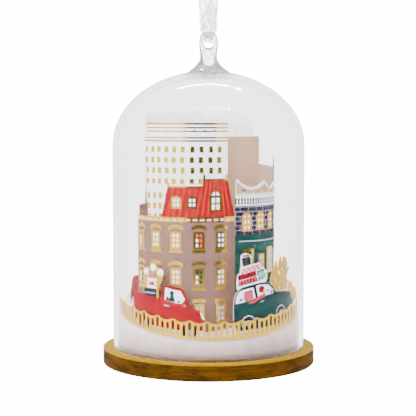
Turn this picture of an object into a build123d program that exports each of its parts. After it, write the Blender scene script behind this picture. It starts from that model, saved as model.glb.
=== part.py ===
"""Glass cloche ornament: a curved paper city street under a glass dome, on a round wooden base
with a gilt card top, hung by an organza ribbon.

Millimetres, +Z up, the street's front towards -Y. The origin is the hanging point, the top of the
ribbon's knot, so everything hangs below it. Heights named here are measured up from the base's
gilt face, and level() turns them into Z. Angles on the upright paper cylinders run from the front
(-Y) towards +X, in degrees.
"""

import os
from math import asin, cos, degrees, pi, radians, sin

from build123d import *

# ---- driving dimensions ---------------------------------------------------------------------
HANG_HEIGHT = 138.0  # hanging point above the gilt face

BASE_RADIUS = 38.6
WOOD_THICK = 5.4
CARD_THICK = 0.3
WOOD_EDGE = 0.25  # worn corner of the wooden disc's underside

DOME_RADIUS = 34.8
GLASS_WALL = 1.5
SHOULDER_HEIGHT = 73.5  # the straight wall ends and the crown begins
CROWN_RISE = 26.8  # half height of the crown's ellipse
CROWN_STEPS = 6
NECK_HEIGHT = 99.6  # the crown is cut flat here, where the drawn neck grows out of it

RING_MAJOR = 2.1  # the eye, a ring of glass rod
RING_MINOR = 0.68
RING_HEIGHT = 110.4
STEM_TOP = 108.2
BAR_HEIGHT = RING_HEIGHT + RING_MAJOR  # centre of the glass that the ribbon hangs from

RIBBON_WIDTH = 7.6
RIBBON_THICK = 0.8  # two crinkled layers
GATHER_RADIUS = 1.0  # the ribbon bunched up inside the eye
BIGHT_RADIUS = 1.95  # its centre line round the glass bar
SPREAD_RISE = 3.4  # above the bar the bunched ribbon has opened out again
SPREAD_WIDTH = 6.0  # its width there; it widens evenly to its full width at the knot
KNOT_BOTTOM = 132.0
KNOT_RADIUS = 3.6

SNOW_RADIUS = 32.15
SNOW_CENTRE = 15.4  # height of the snow on the axis
SLOPE_BACK = 0.22  # rise per millimetre towards the back
SLOPE_RIGHT = -0.02

SHEET_THICK = 0.35  # printed card
FOOT_DEPTH = 3.0  # each sheet stands this deep in a groove in the snow
GROOVE_PLAY = 0.06

FENCE_RADIUS = 32.2
FENCE_HEIGHT = 6.7
FENCE_LAP = 0.7  # the fence's lower rail laps the snow's edge
RAIL_HEIGHT = 1.1
PICKET_COUNT = 102  # if it went the whole way round
PICKET_SHARE = 0.5  # picket width as a share of the pitch
FENCE_START = -80.3  # degrees: the strip stops short of meeting itself at the back left
FENCE_END = 127.9

GLUE_HEIGHT = 0.9
GLUE_LOW = 0.3  # the bead's height where it meets the snow

# ---- the paper sheets: cylinder centre, radius, and roofline as (angle, height) points ---------
STREET_CENTRE = (0.0, 0.0)
STREET_RADIUS = 30.95
REAR_CENTRE = (0.0, 0.8)

SHEETS = {
    "truck_sheet": (
        STREET_CENTRE,
        STREET_RADIUS,
        [
            (-56.8, 19.5), (-56.8, 22.6), (-46.4, 21.9), (-46.4, 30.6), (-43.9, 31.9), (-41.2, 31.2),
            (-39.6, 32.8), (-37.8, 33.4), (-35.6, 32.4), (-34.2, 31.0), (-32.2, 31.8), (-30.4, 30.4),
            (-31.4, 26.0), (-29.5, 25.4), (-17.0, 24.3), (-13.7, 19.3), (-6.0, 17.3), (-2.4, 14.6),
        ],
    ),
    "car_sheet": (
        STREET_CENTRE,
        STREET_RADIUS,
        [
            (15.6, 20.0), (18.0, 25.0), (18.0, 31.6), (20.6, 33.9), (20.6, 36.9), (27.4, 37.2),
            (27.4, 34.6), (36.4, 33.0), (40.4, 31.8), (40.4, 28.6), (43.4, 26.3), (52.5, 21.6),
            (73.4, 20.6), (78.8, 17.6),
        ],
    ),
    "gold_tree_sheet": (
        STREET_CENTRE,
        30.2,
        [
            (44.5, 20.0), (44.5, 27.4), (46.4, 30.9), (50.7, 33.5), (51.9, 30.9), (54.6, 34.7),
            (56.4, 34.9), (59.4, 34.7), (64.0, 34.1), (66.4, 31.0), (68.2, 30.6), (69.3, 29.6),
            (65.2, 27.0), (66.0, 25.5), (63.0, 20.0),
        ],
    ),
    "brownstone_sheet": (
        (-5.06, -5.46),
        20.85,
        [
            (-69.2, 49.3), (-32.0, 49.3), (-25.0, 59.9), (-25.0, 61.1), (-24.0, 60.0), (9.2, 60.0),
            (9.2, 64.0), (10.4, 62.3), (31.8, 62.3), (32.8, 63.9), (33.6, 62.0), (41.4, 49.3),
            (42.8, 49.3),
        ],
    ),
    "shop_sheet": (
        (6.6, 0.0),
        17.0,
        [
            (9.3, 55.1), (9.9, 61.5), (11.6, 62.0), (13.8, 61.3), (18.4, 60.2), (24.4, 59.3),
            (32.1, 59.0), (39.1, 59.6), (44.6, 60.4), (49.7, 61.2), (53.6, 60.4), (59.2, 58.8),
            (64.6, 58.5), (74.4, 60.4), (84.0, 58.7), (96.0, 58.7),
        ],
    ),
    "white_tower_sheet": (
        (-4.2, 4.7),
        22.9,
        [(-47.8, 50.0), (-52.8, 77.2), (-49.5, 77.2), (-49.5, 81.6), (28.0, 81.6)],
    ),
    "taupe_tower_sheet": ((5.8, 1.8), 13.1, [(-10.0, 76.8), (67.7, 76.8)]),
    "skyline_sheet": (
        REAR_CENTRE,
        25.8,
        [
            (140.0, 82.3), (159.3, 87.6), (167.3, 87.6), (167.3, 84.4), (183.0, 84.4), (183.0, 86.0),
            (246.0, 86.0),
        ],
    ),
    "rear_townhouse_sheet": (
        REAR_CENTRE,
        25.0,
        [(106.6, 65.2), (107.3, 68.7), (108.2, 65.2), (138.6, 66.1)],
    ),
    "rear_terrace_sheet": (
        REAR_CENTRE,
        25.0,
        [(245.0, 51.6), (247.6, 51.6), (248.6, 56.2), (249.6, 51.6), (273.0, 51.6)],
    ),
    "rear_van_sheet": (
        STREET_CENTRE,
        28.8,
        [
            (224.0, 21.5), (225.5, 24.2), (228.5, 25.2), (246.0, 24.7), (258.9, 24.8),
            (262.2, 21.6), (266.4, 20.6), (270.6, 16.5), (272.5, 16.0),
        ],
    ),
}


def level(height):
    """Z of a height above the gilt face."""
    return height - HANG_HEIGHT


def upright(height=0.0):
    """The XZ plane through the axis, its own Y running up from a height."""
    return Plane(origin=(0, 0, level(height)), x_dir=(1, 0, 0), z_dir=(0, -1, 0))


def snow_plane(rise=0.0):
    """The sloping snow surface, raised or lowered."""
    return Plane(
        origin=(0, 0, level(SNOW_CENTRE + rise)), z_dir=(-SLOPE_RIGHT, -SLOPE_BACK, 1)
    )


def facing_plane(centre, angle):
    """An upright plane through a paper cylinder's axis, facing out at an angle."""
    turn = radians(angle)
    return Plane(
        origin=(centre[0], centre[1], level(0)),
        x_dir=(cos(turn), sin(turn), 0),
        z_dir=(sin(turn), -cos(turn), 0),
    )


def curved_band(centre, inner, outer, roofline, foot, stretch=0.0):
    """An upright band bent to a cylinder, cut to a roofline above and to the snow's slope below."""
    middle = (roofline[0][0] + roofline[-1][0]) / 2
    top = max(height for _, height in roofline)
    half = (roofline[-1][0] - roofline[0][0]) / 2

    def across(angle):
        spread = (half + stretch) / half
        return inner * sin(radians((angle - middle) * spread))

    outline = [(across(roofline[0][0]), 0)]
    outline += [(across(angle), height) for angle, height in roofline]
    outline += [(across(roofline[-1][0]), 0)]
    with BuildPart() as band:
        with BuildSketch(Plane(origin=(centre[0], centre[1], level(0)))):
            Circle(outer)
            Circle(inner, mode=Mode.SUBTRACT)
        extrude(amount=top + 1)
        with BuildSketch(facing_plane(centre, middle)):
            with BuildLine():
                Polyline(*outline, close=True)
            make_face()
        extrude(amount=outer + 1, mode=Mode.INTERSECT)
        split(bisect_by=snow_plane(-foot), keep=Keep.TOP)
    return band.part


# ---- base -------------------------------------------------------------------------------------
with BuildPart() as wooden_base:
    with BuildSketch(Plane.XY.offset(level(-CARD_THICK - WOOD_THICK))):
        Circle(BASE_RADIUS)
    extrude(amount=WOOD_THICK)
    chamfer(wooden_base.edges().group_by(Axis.Z)[0], length=WOOD_EDGE)

with BuildPart() as gilt_card:
    with BuildSketch(Plane.XY.offset(level(-CARD_THICK))):
        Circle(BASE_RADIUS)
    extrude(amount=CARD_THICK)

# ---- glass ------------------------------------------------------------------------------------
neck_angle = degrees(asin((NECK_HEIGHT - SHOULDER_HEIGHT) / CROWN_RISE))


def crown_curve(radius, rise, end_angle):
    """The crown's quarter ellipse, from the shoulder to an angle on it, as a spline's points."""
    turns = [radians(end_angle * step / CROWN_STEPS) for step in range(CROWN_STEPS + 1)]
    points = [(radius * cos(turn), SHOULDER_HEIGHT + rise * sin(turn)) for turn in turns]
    return Spline(*points, tangents=((0, 1), (-radius * sin(turns[-1]), rise * cos(turns[-1]))))


with BuildPart() as glass_dome:
    with BuildSketch(upright()):
        with BuildLine():
            outer = crown_curve(DOME_RADIUS, CROWN_RISE, neck_angle)
            inner = crown_curve(DOME_RADIUS - GLASS_WALL, CROWN_RISE - GLASS_WALL, 90)
            Polyline(outer @ 1, (0, NECK_HEIGHT), inner @ 1)
            Polyline(inner @ 0, (DOME_RADIUS - GLASS_WALL, 0), (DOME_RADIUS, 0), outer @ 0)
        make_face()
    revolve(axis=Axis.Z)

neck_radius = DOME_RADIUS * cos(radians(neck_angle))
NECK_CURVE = [(6.5, 100.6), (4.4, 102.4), (3.2, 104.2), (2.78, 106.2), (2.6, STEM_TOP)]

with BuildPart() as glass_hanger:
    with BuildSketch(upright()):
        with BuildLine():
            Spline((neck_radius, NECK_HEIGHT), *NECK_CURVE)
            Polyline(NECK_CURVE[-1], (0, STEM_TOP), (0, NECK_HEIGHT), (neck_radius, NECK_HEIGHT))
        make_face()
    revolve(axis=Axis.Z)
    with Locations(Location((0, 0, level(RING_HEIGHT)), (90, 0, 0))):
        Torus(RING_MAJOR, RING_MINOR)

with BuildPart() as glue_bead:
    with BuildSketch(upright()):
        with BuildLine():
            glass_side = DOME_RADIUS - GLASS_WALL - GROOVE_PLAY
            snow_side = SNOW_RADIUS + GROOVE_PLAY
            Polyline(
                (snow_side, 0), (glass_side, 0), (glass_side, GLUE_HEIGHT), (snow_side, GLUE_LOW),
                close=True,
            )
        make_face()
    revolve(axis=Axis.Z)

# ---- snow and fence ---------------------------------------------------------------------------
with BuildPart() as snow_block:
    with BuildSketch(Plane.XY.offset(level(0))):
        Circle(SNOW_RADIUS)
    extrude(amount=2 * SNOW_CENTRE)
    split(bisect_by=snow_plane(), keep=Keep.BOTTOM)
    for centre, radius, roofline in SHEETS.values():
        add(
            curved_band(
                centre,
                radius - GROOVE_PLAY,
                radius + SHEET_THICK + GROOVE_PLAY,
                [(roofline[0][0], 2 * SNOW_CENTRE), (roofline[-1][0], 2 * SNOW_CENTRE)],
                FOOT_DEPTH + GROOVE_PLAY,
                stretch=0.5,
            ),
            mode=Mode.SUBTRACT,
        )

with BuildPart() as picket_gaps:
    pitch = 2 * pi * FENCE_RADIUS / PICKET_COUNT
    with BuildSketch(Plane.XY.offset(level(0))):
        with PolarLocations(FENCE_RADIUS, PICKET_COUNT):
            Rectangle(4, pitch * (1 - PICKET_SHARE))
    extrude(amount=2 * SNOW_CENTRE)
    split(bisect_by=snow_plane(RAIL_HEIGHT - FENCE_LAP), keep=Keep.TOP)
    split(bisect_by=snow_plane(FENCE_HEIGHT - FENCE_LAP - RAIL_HEIGHT), keep=Keep.BOTTOM)

with BuildPart() as picket_fence:
    with BuildSketch(Plane.XY.offset(level(0))):
        Circle(FENCE_RADIUS + SHEET_THICK)
        Circle(FENCE_RADIUS, mode=Mode.SUBTRACT)
        gap_turns = [FENCE_END, (FENCE_END + FENCE_START + 360) / 2, FENCE_START + 360]
        reach = 3 * FENCE_RADIUS
        gap = [(reach * sin(radians(turn)), -reach * cos(radians(turn))) for turn in gap_turns]
        with BuildLine():
            Polyline((0, 0), *gap, close=True)
        make_face(mode=Mode.SUBTRACT)
    extrude(amount=2 * SNOW_CENTRE)
    split(bisect_by=snow_plane(-FENCE_LAP), keep=Keep.TOP)
    split(bisect_by=snow_plane(FENCE_HEIGHT - FENCE_LAP), keep=Keep.BOTTOM)
    add(picket_gaps.part, mode=Mode.SUBTRACT)

# ---- ribbon, hung in the eye --------------------------------------------------------------------
with BuildPart() as hanging_ribbon:
    with BuildSketch(Plane.XY.offset(level(BAR_HEIGHT))):
        with Locations((0, -BIGHT_RADIUS)):
            Circle(GATHER_RADIUS)
    revolve(axis=Axis((0, 0, level(BAR_HEIGHT)), (1, 0, 0)), revolution_arc=180)
    for side in (-1, 1):
        with BuildSketch(Plane.XY.offset(level(BAR_HEIGHT))):
            with Locations((0, side * BIGHT_RADIUS)):
                Circle(GATHER_RADIUS)
        with BuildSketch(Plane.XY.offset(level(BAR_HEIGHT + SPREAD_RISE))):
            with Locations((0, side * BIGHT_RADIUS)):
                Ellipse(SPREAD_WIDTH / 2, RIBBON_THICK / 2)
        loft()
        with BuildSketch(Plane.XY.offset(level(BAR_HEIGHT + SPREAD_RISE))):
            with Locations((0, side * BIGHT_RADIUS)):
                Ellipse(SPREAD_WIDTH / 2, RIBBON_THICK / 2)
        with BuildSketch(Plane.XY.offset(level(KNOT_BOTTOM))):
            with Locations((0, side * BIGHT_RADIUS)):
                Ellipse(RIBBON_WIDTH / 2, RIBBON_THICK / 2)
        loft()

with BuildPart() as ribbon_knot:
    with BuildSketch(upright()):
        with BuildLine():
            Polyline((0, HANG_HEIGHT), (0, KNOT_BOTTOM), (KNOT_RADIUS * 0.8, KNOT_BOTTOM))
            Spline(
                (KNOT_RADIUS * 0.8, KNOT_BOTTOM),
                (KNOT_RADIUS, (KNOT_BOTTOM + HANG_HEIGHT) / 2 - 0.5),
                (KNOT_RADIUS * 0.6, HANG_HEIGHT),
            )
            Line((KNOT_RADIUS * 0.6, HANG_HEIGHT), (0, HANG_HEIGHT))
        make_face()
    revolve(axis=Axis.Z)

# ---- write every piece --------------------------------------------------------------------------
pieces = {
    "wooden_base": wooden_base.part,
    "gilt_card": gilt_card.part,
    "glass_dome": glass_dome.part,
    "glass_hanger": glass_hanger.part,
    "glue_bead": glue_bead.part,
    "snow_block": snow_block.part,
    "picket_fence": picket_fence.part,
    "hanging_ribbon": hanging_ribbon.part,
    "ribbon_knot": ribbon_knot.part,
}
for name, (centre, radius, roofline) in SHEETS.items():
    pieces[name] = curved_band(centre, radius, radius + SHEET_THICK, roofline, FOOT_DEPTH)

os.makedirs("parts", exist_ok=True)
for name, piece in pieces.items():
    piece.label = name
    export_step(piece, f"parts/{name}.step")
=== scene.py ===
"""Looks of the glass cloche ornament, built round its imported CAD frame.

Lengths named here are millimetres, where nothing else is said, and heights are measured up from the
base's gilt face, so high() turns them into the frame's metres. A paper sheet is drawn flat, x along
its outer face from the street's front and y up, and then bent to its CAD node's cylinder.
"""

from math import ceil, cos, hypot, pi, radians, sin

import bpy
import numpy as np
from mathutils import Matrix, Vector, geometry, noise


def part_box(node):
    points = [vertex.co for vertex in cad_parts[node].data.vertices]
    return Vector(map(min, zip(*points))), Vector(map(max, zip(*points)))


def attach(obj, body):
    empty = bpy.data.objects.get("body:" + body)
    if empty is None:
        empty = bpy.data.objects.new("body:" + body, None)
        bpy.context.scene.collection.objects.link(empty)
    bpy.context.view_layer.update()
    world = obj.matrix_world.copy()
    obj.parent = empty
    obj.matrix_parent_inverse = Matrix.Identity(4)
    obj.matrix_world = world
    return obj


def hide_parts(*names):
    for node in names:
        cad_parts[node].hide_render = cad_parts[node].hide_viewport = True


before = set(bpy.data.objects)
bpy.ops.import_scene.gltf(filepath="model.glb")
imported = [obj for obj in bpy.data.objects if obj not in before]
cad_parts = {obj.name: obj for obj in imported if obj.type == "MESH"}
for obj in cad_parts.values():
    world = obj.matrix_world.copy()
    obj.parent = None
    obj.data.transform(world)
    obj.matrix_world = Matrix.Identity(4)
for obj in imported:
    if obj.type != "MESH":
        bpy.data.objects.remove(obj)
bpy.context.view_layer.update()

MM = 0.001
FACE_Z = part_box("gilt_card")[1].z
WHITE_LIGHT = 2.4  # strength of the studio's white surroundings
BACKDROP_LIGHT = 16.0  # the backdrop as the camera sees it, burnt out to white
THROUGH_LIGHT = 4.0  # the backdrop as it shows through the glass


def high(height):
    """Z of a height above the gilt face."""
    return FACE_Z + height * MM


def placed(name, data):
    """A new object in the scene."""
    made = bpy.data.objects.new(name, data)
    bpy.context.scene.collection.objects.link(made)
    return made


# ---- camera -----------------------------------------------------------------------------------
CAMERA_DISTANCE = 473.0
CAMERA_HEIGHT = 87.7
CAMERA_LEFT = 0.2
CAMERA_DOWN = 4.5  # degrees
LENS = 112.5
SENSOR = 36.0


def make_camera():
    """Looks at the ornament from its front, slightly downwards."""
    data = bpy.data.cameras.new("camera")
    data.lens = LENS
    data.sensor_width = SENSOR
    data.clip_start = 0.01
    camera = placed("camera", data)
    camera.location = (-CAMERA_LEFT * MM, -CAMERA_DISTANCE * MM, high(CAMERA_HEIGHT))
    camera.rotation_euler = (radians(90 - CAMERA_DOWN), 0, 0)
    bpy.context.scene.camera = camera


make_camera()


# ---- materials --------------------------------------------------------------------------------
MATT = 0.02  # specular level of inks and raw surfaces, which show no highlight


def linear(red, green, blue):
    """A screen colour, 0 to 255, as the linear colour that shaders take."""
    parts = [value / 255 for value in (red, green, blue)]
    return tuple(p / 12.92 if p <= 0.04045 else ((p + 0.055) / 1.055) ** 2.4 for p in parts)


class Shader:
    """A node material under construction: each method adds a node and returns its output."""

    def __init__(self, name):
        self.material = bpy.data.materials.new(name)
        self.material.use_nodes = True
        self.tree = self.material.node_tree
        self.surface = self.tree.nodes["Principled BSDF"]
        self.output = self.tree.nodes["Material Output"]
        self.place = self.add("ShaderNodeTexCoord").outputs["Object"]

    def add(self, kind, **settings):
        node = self.tree.nodes.new(kind)
        for key, value in settings.items():
            setattr(node, key, value)
        return node

    def join(self, source, socket):
        self.tree.links.new(source, socket)

    def noise(self, size, detail=2.0, stretch=(1, 1, 1), distortion=0.0):
        """Noise whose features are about size mm across, drawn out by stretch."""
        scaled = self.add("ShaderNodeVectorMath", operation="MULTIPLY")
        scaled.inputs[1].default_value = [1 / (size * MM * factor) for factor in stretch]
        self.join(self.place, scaled.inputs[0])
        node = self.add("ShaderNodeTexNoise")
        node.inputs["Scale"].default_value = 1.0
        node.inputs["Detail"].default_value = detail
        node.inputs["Distortion"].default_value = distortion
        self.join(scaled.outputs[0], node.inputs["Vector"])
        return node.outputs["Fac"]

    def spread(self, value, low, high, from_low=0.3, from_high=0.7):
        """A 0 to 1 value remapped to a range."""
        node = self.add("ShaderNodeMapRange")
        for key, number in zip(
            ("From Min", "From Max", "To Min", "To Max"), (from_low, from_high, low, high)
        ):
            node.inputs[key].default_value = number
        self.join(value, node.inputs["Value"])
        return node.outputs["Result"]

    def blend(self, share, first, second):
        """A colour that goes from first to second with share."""
        node = self.add("ShaderNodeMix", data_type="RGBA")
        self.join(share, node.inputs["Factor"])
        for socket, colour in ((node.inputs[6], first), (node.inputs[7], second)):
            if isinstance(colour, tuple):
                socket.default_value = (*colour, 1)
            else:
                self.join(colour, socket)
        return node.outputs[2]

    def bump(self, value, depth, strength=1.0):
        """Relief of a depth in mm on the surface's normal."""
        node = self.add("ShaderNodeBump")
        node.inputs["Distance"].default_value = depth * MM
        node.inputs["Strength"].default_value = strength
        self.join(value, node.inputs["Height"])
        self.join(node.outputs["Normal"], self.surface.inputs["Normal"])

    def colour(self, source):
        self.join(source, self.surface.inputs["Base Color"])

    def rough(self, source):
        self.join(source, self.surface.inputs["Roughness"])

    def set(self, **values):
        for key, value in values.items():
            self.surface.inputs[key.replace("_", " ")].default_value = value

    def paper(self):
        """The matt, fibrous surface of printed card."""
        self.rough(self.spread(self.noise(0.5), 0.62, 0.8))
        self.set(Specular_IOR_Level=MATT)
        self.bump(self.noise(0.09, detail=4), 0.012, 0.5)

    def clear(self):
        """A shader that lets light straight through."""
        return self.add("ShaderNodeBsdfTransparent")

    def mixed(self, share, first, second):
        """Ends the material as a mix of two shaders, second by share."""
        mix = self.add("ShaderNodeMixShader")
        if isinstance(share, float):
            mix.inputs[0].default_value = share
        else:
            self.join(share, mix.inputs[0])
        self.join(first.outputs[0], mix.inputs[1])
        self.join(second.outputs[0], mix.inputs[2])
        self.join(mix.outputs[0], self.output.inputs["Surface"])


def scaled_colour(colour, factor):
    """A colour made lighter or darker."""
    return tuple(min(1.0, part * factor) for part in colour)


def ink(name, red, green, blue, patch=0.05):
    """Printed card: a slightly uneven colour, paper fibres and a soft sheen."""
    shade = Shader(name)
    colour = linear(red, green, blue)
    patches = shade.noise(2.2, detail=3)
    mottled = shade.blend(
        shade.spread(patches, 0, 1), scaled_colour(colour, 1 - patch), scaled_colour(colour, 1 + patch)
    )
    shade.colour(mottled)
    shade.paper()
    return shade.material


def foil(name, red, green, blue, rough=0.3):
    """Hot-stamped metal foil on card."""
    shade = Shader(name)
    colour = linear(red, green, blue)
    shade.colour(
        shade.blend(shade.spread(shade.noise(1.2), 0, 1), scaled_colour(colour, 0.93), colour)
    )
    shade.set(Metallic=1.0)
    shade.rough(shade.spread(shade.noise(0.4), rough - 0.05, rough + 0.08))
    shade.bump(shade.noise(0.35, detail=3), 0.003, 0.3)
    return shade.material


def make_glass():
    """Clear thin blown glass. Lamps light what is inside it, so shadow rays pass straight through."""
    shade = Shader("clear_glass")
    shade.set(Transmission_Weight=1.0, IOR=1.16)
    facing = shade.add("ShaderNodeLayerWeight").outputs["Facing"]
    shade.colour(
        shade.blend(shade.spread(facing, 0, 1, 0.8, 1.0), linear(252, 251, 254), linear(226, 226, 232))
    )
    shade.rough(shade.spread(shade.noise(6.0), 0.0, 0.012))
    shade.bump(shade.noise(16.0, detail=1.0), 0.10, 0.35)
    through = shade.clear()
    through.inputs["Color"].default_value = (0.985, 0.98, 0.992, 1)
    shadow = shade.add("ShaderNodeLightPath").outputs["Is Shadow Ray"]
    shade.mixed(shadow, shade.surface, through)
    return shade.material


def make_drawn_glass():
    """The thick glass of the neck and eye: streaked, with painted shade that greys its see-through tint
    where it turns away.
    """
    shade = Shader("drawn_glass")
    shade.set(Base_Color=(*linear(240, 240, 244), 1))
    streaks = shade.noise(1.1, detail=3, stretch=(1, 1, 2.5), distortion=0.8)
    shade.rough(shade.spread(streaks, 0.03, 0.1))
    shade.bump(streaks, 0.15, 0.7)
    # painted shade: the see-through tint darkens to grey as the glass turns away from view, for the dark
    # edges that refraction gives
    facing = shade.add("ShaderNodeLayerWeight").outputs["Facing"]
    grey = shade.blend(shade.spread(facing, 0, 1, 0.3, 1.0), linear(186, 184, 189), linear(104, 100, 104))
    tint = shade.blend(shade.spread(streaks, 0, 1, 0.52, 0.68), grey, linear(246, 246, 249))
    through = shade.clear()
    shade.join(tint, through.inputs["Color"])
    shade.mixed(shade.add("ShaderNodeFresnel").outputs[0], through, shade.surface)
    return shade.material


def make_glue_painted_shade():
    """Glue in a dark amber, uneven on its face: painted shade for the dark line at the snow's foot, and a
    painted refraction of the gilt card seen through the glass rim.
    """
    shade = Shader("clear_glue")
    # painted shade and painted refraction: the dark amber stands for the dark line and amber band at the
    # glass's foot
    shade.set(Base_Color=(*linear(96, 66, 26), 1), Transmission_Weight=0.3, IOR=1.48)
    shade.rough(shade.spread(shade.noise(1.5), 0.08, 0.2))
    shade.bump(shade.noise(1.8), 0.08, 0.6)
    return shade.material


def make_felt_snow_painted_shade():
    """Felted snow with a few glitter specks, and painted shade that browns it towards its foot."""
    shade = Shader("felt_snow")
    split = shade.add("ShaderNodeSeparateXYZ")
    shade.join(shade.place, split.inputs[0])
    mottled = shade.blend(
        shade.spread(shade.noise(3.0, detail=4), 0, 1), linear(204, 184, 179), linear(230, 216, 212)
    )
    # painted shade: over its lowest 9 mm the felt is blended towards a dark brown
    foot = shade.spread(split.outputs[2], 0.75, 0, FACE_Z, FACE_Z + 9 * MM)
    shade.colour(shade.blend(foot, mottled, linear(122, 94, 78)))
    glint = shade.spread(shade.noise(0.28, detail=0), 0.9, 0.35, 0.70, 0.78)
    shade.rough(glint)
    shade.bump(shade.noise(0.45, detail=5, distortion=0.6), 0.25, 1.0)
    shade.set(Sheen_Weight=0.15, Sheen_Roughness=0.5)
    return shade.material


def make_wood():
    """Laser-cut plywood: plies run round the edge, scorched brown in streaks."""
    shade = Shader("scorched_plywood")
    plies = shade.noise(0.55, detail=3, stretch=(16, 16, 1), distortion=0.3)
    scorch = shade.noise(7.0, detail=4, stretch=(1, 1, 0.35))
    grain = shade.noise(0.3, detail=5, stretch=(9, 9, 1))
    streaks = shade.blend(shade.spread(plies, 0, 1, 0.35, 0.65), linear(62, 38, 8), linear(94, 60, 8))
    burnt = shade.blend(shade.spread(scorch, 0, 0.8, 0.48, 0.66), streaks, linear(38, 24, 6))
    shade.colour(shade.blend(shade.spread(grain, 0, 0.4, 0.5, 0.75), burnt, linear(114, 74, 10)))
    shade.rough(shade.spread(grain, 0.55, 0.75))
    shade.set(Specular_IOR_Level=MATT)
    shade.bump(plies, 0.14, 0.9)
    return shade.material


def make_gilt():
    """Gold metallic card, strongly yellow, with a mottled grain."""
    shade = Shader("gilt_card")
    grain = shade.spread(shade.noise(0.7, detail=4), 0, 1, 0.35, 0.65)
    shade.colour(shade.blend(grain, linear(126, 92, 0), linear(168, 130, 0)))
    shade.set(Metallic=0.0, Specular_IOR_Level=MATT)
    shade.rough(shade.spread(shade.noise(0.6, detail=3), 0.42, 0.6))
    shade.bump(shade.noise(0.25, detail=4), 0.03, 0.8)
    return shade.material


def make_organza():
    """Sheer white ribbon: fine warp threads, denser where the cloth creases."""
    shade = Shader("organza")
    shade.set(Base_Color=(*linear(250, 250, 251), 1), Specular_IOR_Level=0.6)
    creases = shade.noise(0.9, detail=4, stretch=(1, 1, 5), distortion=0.8)
    threads = shade.noise(0.16, detail=2, stretch=(1, 1, 14))
    shade.rough(shade.spread(creases, 0.22, 0.45))
    shade.bump(threads, 0.05, 0.7)
    shade.mixed(shade.spread(creases, 0.16, 0.66, 0.36, 0.66), shade.clear(), shade.surface)
    return shade.material


def make_vellum():
    """Thin white vellum that lets some of the bright backdrop through."""
    shade = Shader("white_vellum")
    shade.set(Base_Color=(*linear(250, 248, 252), 1), Specular_IOR_Level=MATT)
    cloud = shade.noise(2.5, detail=4)
    shade.rough(shade.spread(cloud, 0.6, 0.8))
    shade.bump(shade.noise(0.2, detail=4), 0.01, 0.5)
    shade.mixed(shade.spread(cloud, 0.62, 0.78), shade.clear(), shade.surface)
    return shade.material


PAINTED_SHADE_START, PAINTED_SHADE_DEPTH = 46, 42  # where the painted shade starts to darken the taupe, and over how much height
PAINTED_SHADE_LEAN = 0.6  # how much of the painted shade's darkening goes to the right


def make_wall_ink_painted_shade():
    """The brownstone's taupe print, with painted shade that darkens it towards its lower right."""
    shade = Shader("taupe_ink")
    split = shade.add("ShaderNodeSeparateXYZ")
    shade.join(shade.place, split.inputs[0])
    rightwards = shade.add("ShaderNodeMath", operation="MULTIPLY_ADD")
    shade.join(split.outputs[0], rightwards.inputs[0])
    rightwards.inputs[1].default_value = PAINTED_SHADE_LEAN
    lean = shade.add("ShaderNodeMath", operation="SUBTRACT")
    shade.join(rightwards.outputs[0], lean.inputs[0])
    shade.join(split.outputs[2], lean.inputs[1])
    start = -FACE_Z - PAINTED_SHADE_START * MM
    # painted shade: the taupe darkens towards the lower right, where the wall turns away from the light
    dark = shade.spread(lean.outputs[0], 0, 1, start, start + PAINTED_SHADE_DEPTH * MM)
    shade.colour(shade.blend(dark, linear(236, 208, 202), linear(118, 88, 76)))
    shade.paper()
    return shade.material


WHITE = ink("white_ink", 248, 245, 249, patch=0.02)
PANE = ink("pane_white", 240, 238, 248, patch=0.02)
# TAUPE carries the wall's painted shade, darker towards the lower right wherever it is used
TAUPE = make_wall_ink_painted_shade()
GREY_TAUPE = ink("grey_taupe_ink", 166, 138, 122)
RED = ink("red_ink", 124, 0, 12)
ROOF_RED = ink("roof_red_ink", 130, 0, 12)
DUSTY_RED = ink("dusty_red_ink", 184, 84, 88)
PINK = ink("pink_ink", 240, 110, 135)
CORAL = ink("coral_ink", 208, 58, 50)
TEAL = ink("teal_ink", 2, 42, 44)
GREEN = ink("green_ink", 19, 67, 58)
LEAF = ink("leaf_ink", 24, 112, 76)
NAVY = ink("navy_ink", 30, 28, 38)
PLUM = ink("plum_ink", 40, 26, 34)
LILAC = ink("lilac_ink", 190, 184, 218)
SKIN = ink("skin_ink", 226, 138, 84)
CREAM = ink("cream_ink", 250, 225, 150)
RIB = ink("rib_ink", 222, 110, 60)
VAN_RED = ink("van_ink", 150, 104, 100)
VELLUM = make_vellum()
BLUSH = ink("blush_ink", 238, 194, 168)
GOLD = foil("gold_foil", 218, 180, 44, rough=0.1)
SATIN_GOLD = foil("satin_foil", 202, 156, 46, rough=0.5)
TREE_GOLD = foil("tree_foil", 200, 156, 54, rough=0.3)
CUT_EDGE = ink("scorched_cut", 128, 82, 30)
FENCE_GOLD = foil("fence_foil", 226, 184, 34, rough=0.35)


# ---- pieces -----------------------------------------------------------------------------------
def new_piece(name, vertices, faces, materials, face_materials=None, sharp=40):
    """A smooth-shaded mesh object with sharp edges past an angle in degrees."""
    mesh = bpy.data.meshes.new(name)
    mesh.from_pydata([tuple(v) for v in vertices], [], faces)
    for material in materials:
        mesh.materials.append(material)
    if face_materials is not None:
        mesh.polygons.foreach_set("material_index", face_materials)
    mesh.shade_smooth()
    mesh.set_sharp_from_angle(angle=radians(sharp))
    return placed(name, mesh)


def settle(piece, body, slot, *nodes):
    """Puts a finished piece on its body and hides the CAD nodes it stands for; slot is not used."""
    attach(piece, body)
    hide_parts(*nodes)
    return piece


def node_points(node):
    """Corners of a CAD node, in metres."""
    return np.array([v.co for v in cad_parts[node].data.vertices])


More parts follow.
